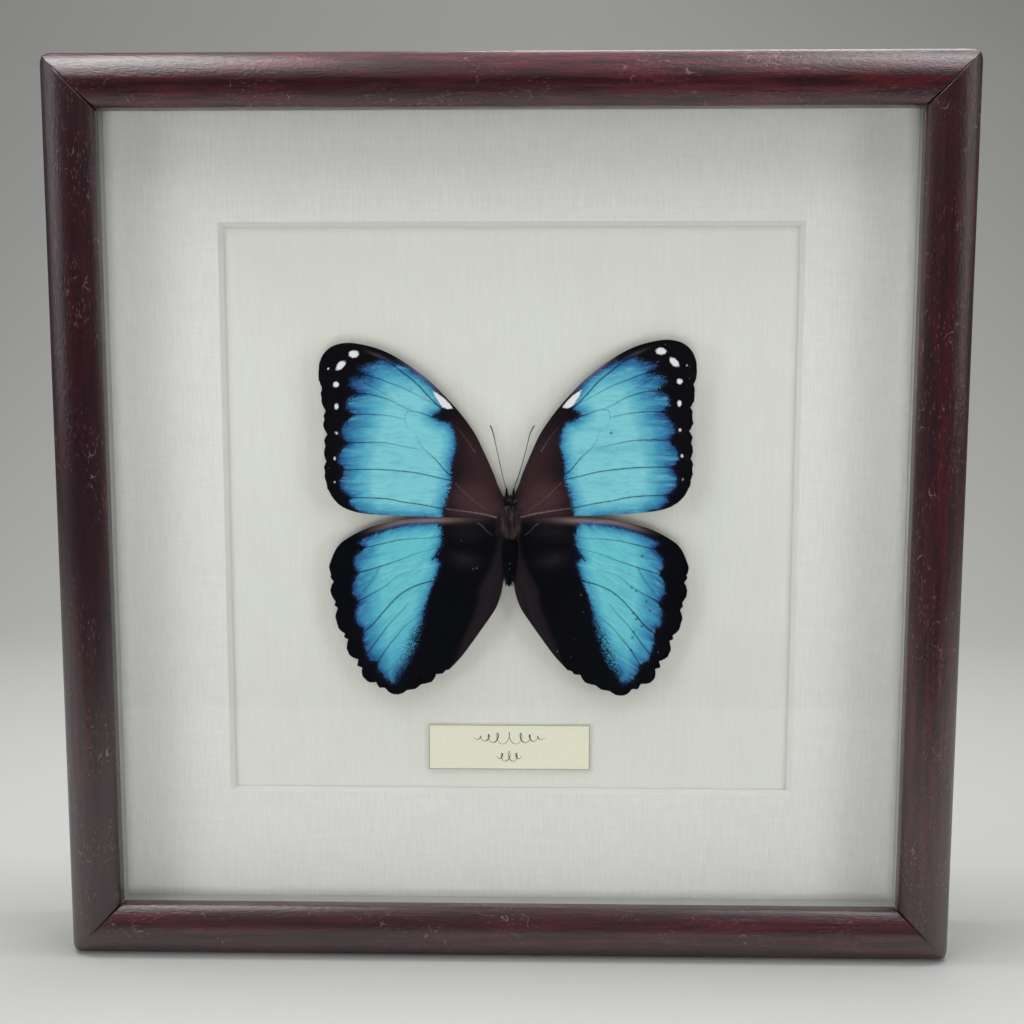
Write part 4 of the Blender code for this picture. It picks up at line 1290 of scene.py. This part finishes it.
def insect_skin(name, dark, light, size, rough, gloss):
    skin = Finish(name, Roughness=rough, Specular_IOR_Level=gloss)
    mottle = skin.noise(skin.place(), size, 4, 0.6)
    skin.set("Base Color", skin.mix(skin.fade(mottle, 0.35, 0.7), dark, light))
    skin.relief(mottle, 0.0001, 0.6)
    return skin.material


def streaked_fur(name, dark, light):
    """Hair that changes shade from lock to lock."""
    fur = Finish(name, Roughness=0.7, Specular_IOR_Level=0.12)
    locks = fur.noise(fur.place((1, 1, 0.15)), 0.0007, 3, 0.6)
    fur.set("Base Color", fur.mix(fur.fade(locks, 0.35, 0.68), dark, light))
    fur.relief(locks, 0.00005, 0.5)
    return fur.material


chance = np.random.default_rng(7)
body = make_body()
body.data.materials.append(insect_skin("Body skin", tone("060508"), tone("151117"), 0.0006, 0.7, 0.15))
thorax_fur = fur_coat("thorax_fur", 5600, (-4.6, 3.7), (0.9, 2.3), 0.05, -1.1, chance, rounding=2.6)
thorax_fur.data.materials.append(streaked_fur("Thorax fur", tone("1C1518"), tone("655556")))
root_fur = fur_coat("wing_root_fur", 1800, (-5.2, 3.2), (0.8, 1.8), 0.045, -0.35, chance, front_only=False)
root_fur.data.materials.append(streaked_fur("Wing root fur", tone("130E11"), tone("3E3032")))
abdomen_fur = fur_coat("abdomen_fur", 3400, (-18.6, -5.0), (0.7, 1.5), 0.05, -1.2, chance)
abdomen_fur.data.materials.append(streaked_fur("Abdomen fur", tone("030305"), tone("0B0B12")))
head_bristles = fur_coat("head_bristles", 1500, (3.4, 6.1), (0.5, 1.3), 0.05, 0.4, chance)
head_bristles.data.materials.append(streaked_fur("Head bristles", tone("050506"), tone("262023")))
head_palps = palps(chance)
head_palps.data.materials.append(head_bristles.data.materials[0])
body_dust = dust_motes(chance)
body_dust.data.materials.append(streaked_fur("Pale dust", tone("77777A"), tone("B4B6B8")))
for piece in (body, thorax_fur, root_fur, abdomen_fur, head_bristles, head_palps, body_dust):
    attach(piece, "root")
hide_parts("butterfly_body")


# ---- Antennae ----
# Two hair-thin antennae of many short joints, thickening a little towards the tip.

ANTENNAE = (
    ("left", ((-0.3, 6.0), (-0.75, 8.7), (-1.5, 11.3), (-2.5, 15.8), (-3.5, 20.3), (-4.3, 23.9),
              (-5.1, 26.1))),
    ("right", ((1.3, 6.0), (1.7, 8.7), (2.6, 11.3), (4.1, 16.1), (5.2, 20.3), (6.1, 23.9), (7.3, 26.1))),
)
ANTENNA_SIDES = 8
# In millimetres, apart from the share of its length at which an antenna starts to swell.
ANTENNA_STEP = 0.12
ANTENNA_RADIUS = 0.1
TIP_SWELLING = 0.08
SWELLING_START = 0.72


def make_antenna(word, points):
    """A tube in short joints, with its last quarter swollen."""
    line = even_line(smooth_line(points, 8), ANTENNA_STEP)
    antenna_y = (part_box("antenna_" + word)[0].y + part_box("antenna_" + word)[1].y) / 2
    spots = []
    for k, (x, z) in enumerate(line):
        share = k / (len(line) - 1)
        joint = 1 + 0.12 * math.sin(2 * math.pi * k / 4)
        swelling = TIP_SWELLING * max(0.0, (share - SWELLING_START) / (1 - SWELLING_START))
        radius = (ANTENNA_RADIUS + swelling) * joint
        if k in (0, len(line) - 1):
            radius *= 0.35
        ahead = line[min(k + 1, len(line) - 1)] - line[max(k - 1, 0)]
        along = Vector((ahead[0], 0, ahead[1])).normalized()
        side = Vector((along.z, 0, -along.x))
        for n in range(ANTENNA_SIDES):
            turn = 2 * math.pi * n / ANTENNA_SIDES
            spot = Vector((x, 0, z)) + side * radius * math.cos(turn)
            spots.append((
                WINGS_X + spot.x * MM,
                antenna_y - radius * math.sin(turn) * MM,
                CENTRE.z + spot.z * MM,
            ))
    faces = tube_faces(len(line), ANTENNA_SIDES)
    return make_mesh(f"antenna_{word}_jointed", spots, faces, sharp=60)


horn = insect_skin("Antenna horn", tone("0B090A"), tone("1C1618"), 0.0004, 0.4, 0.4)
for word, points in ANTENNAE:
    antenna = make_antenna(word, points)
    antenna.data.materials.append(horn)
    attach(antenna, "root")
    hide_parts("antenna_" + word)


# ---- Back panel, points and hanger ----
# A hardboard panel closes the back. Pressed steel points driven into the rails hold it, and a
# keyhole hanger is riveted on at the top.

def hardboard():
    board = Finish("Hardboard", Roughness=0.75, Specular_IOR_Level=0.25)
    fibres = board.noise(board.place(), 0.0012, 6, 0.7, 0.5)
    specks = board.noise(board.place(), 0.0004, 3)
    colour = board.mix(board.fade(fibres, 0.3, 0.7), tone("6E4A2E"), tone("8F6844"))
    board.set("Base Color", board.mix(board.fade(specks, 0.62, 0.75, 0, 0.6), colour, tone("3E2817")))
    board.relief(board.plus(fibres, board.times(specks, 0.5)), 0.0001, 0.6)
    return board.material


def zinced_steel(name):
    steel = Finish(name, Metallic=1.0)
    spangle = steel.cells(steel.place(), 0.0022, output="Color")
    streaks = steel.noise(steel.place((1, 1, 0.2)), 0.0006, 3)
    grey = steel.mix(steel.fade(streaks, 0.3, 0.7), tone("9C9EA0"), tone("B9BABA"))
    steel.set("Base Color", steel.mix(0.12, grey, spangle, "OVERLAY"))
    steel.set("Roughness", steel.fade(streaks, 0.3, 0.7, 0.28, 0.42))
    steel.relief(streaks, 0.00003, 0.4)
    return steel.material


dress(hardboard(), "hardboard", "back_panel")
steel = zinced_steel("Zinced steel")
glazier_points = [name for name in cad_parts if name.startswith("glazier_point")]
dress(steel, "steel", "hanger_plate", "hanger_rivet_left", "hanger_rivet_right", *glazier_points)
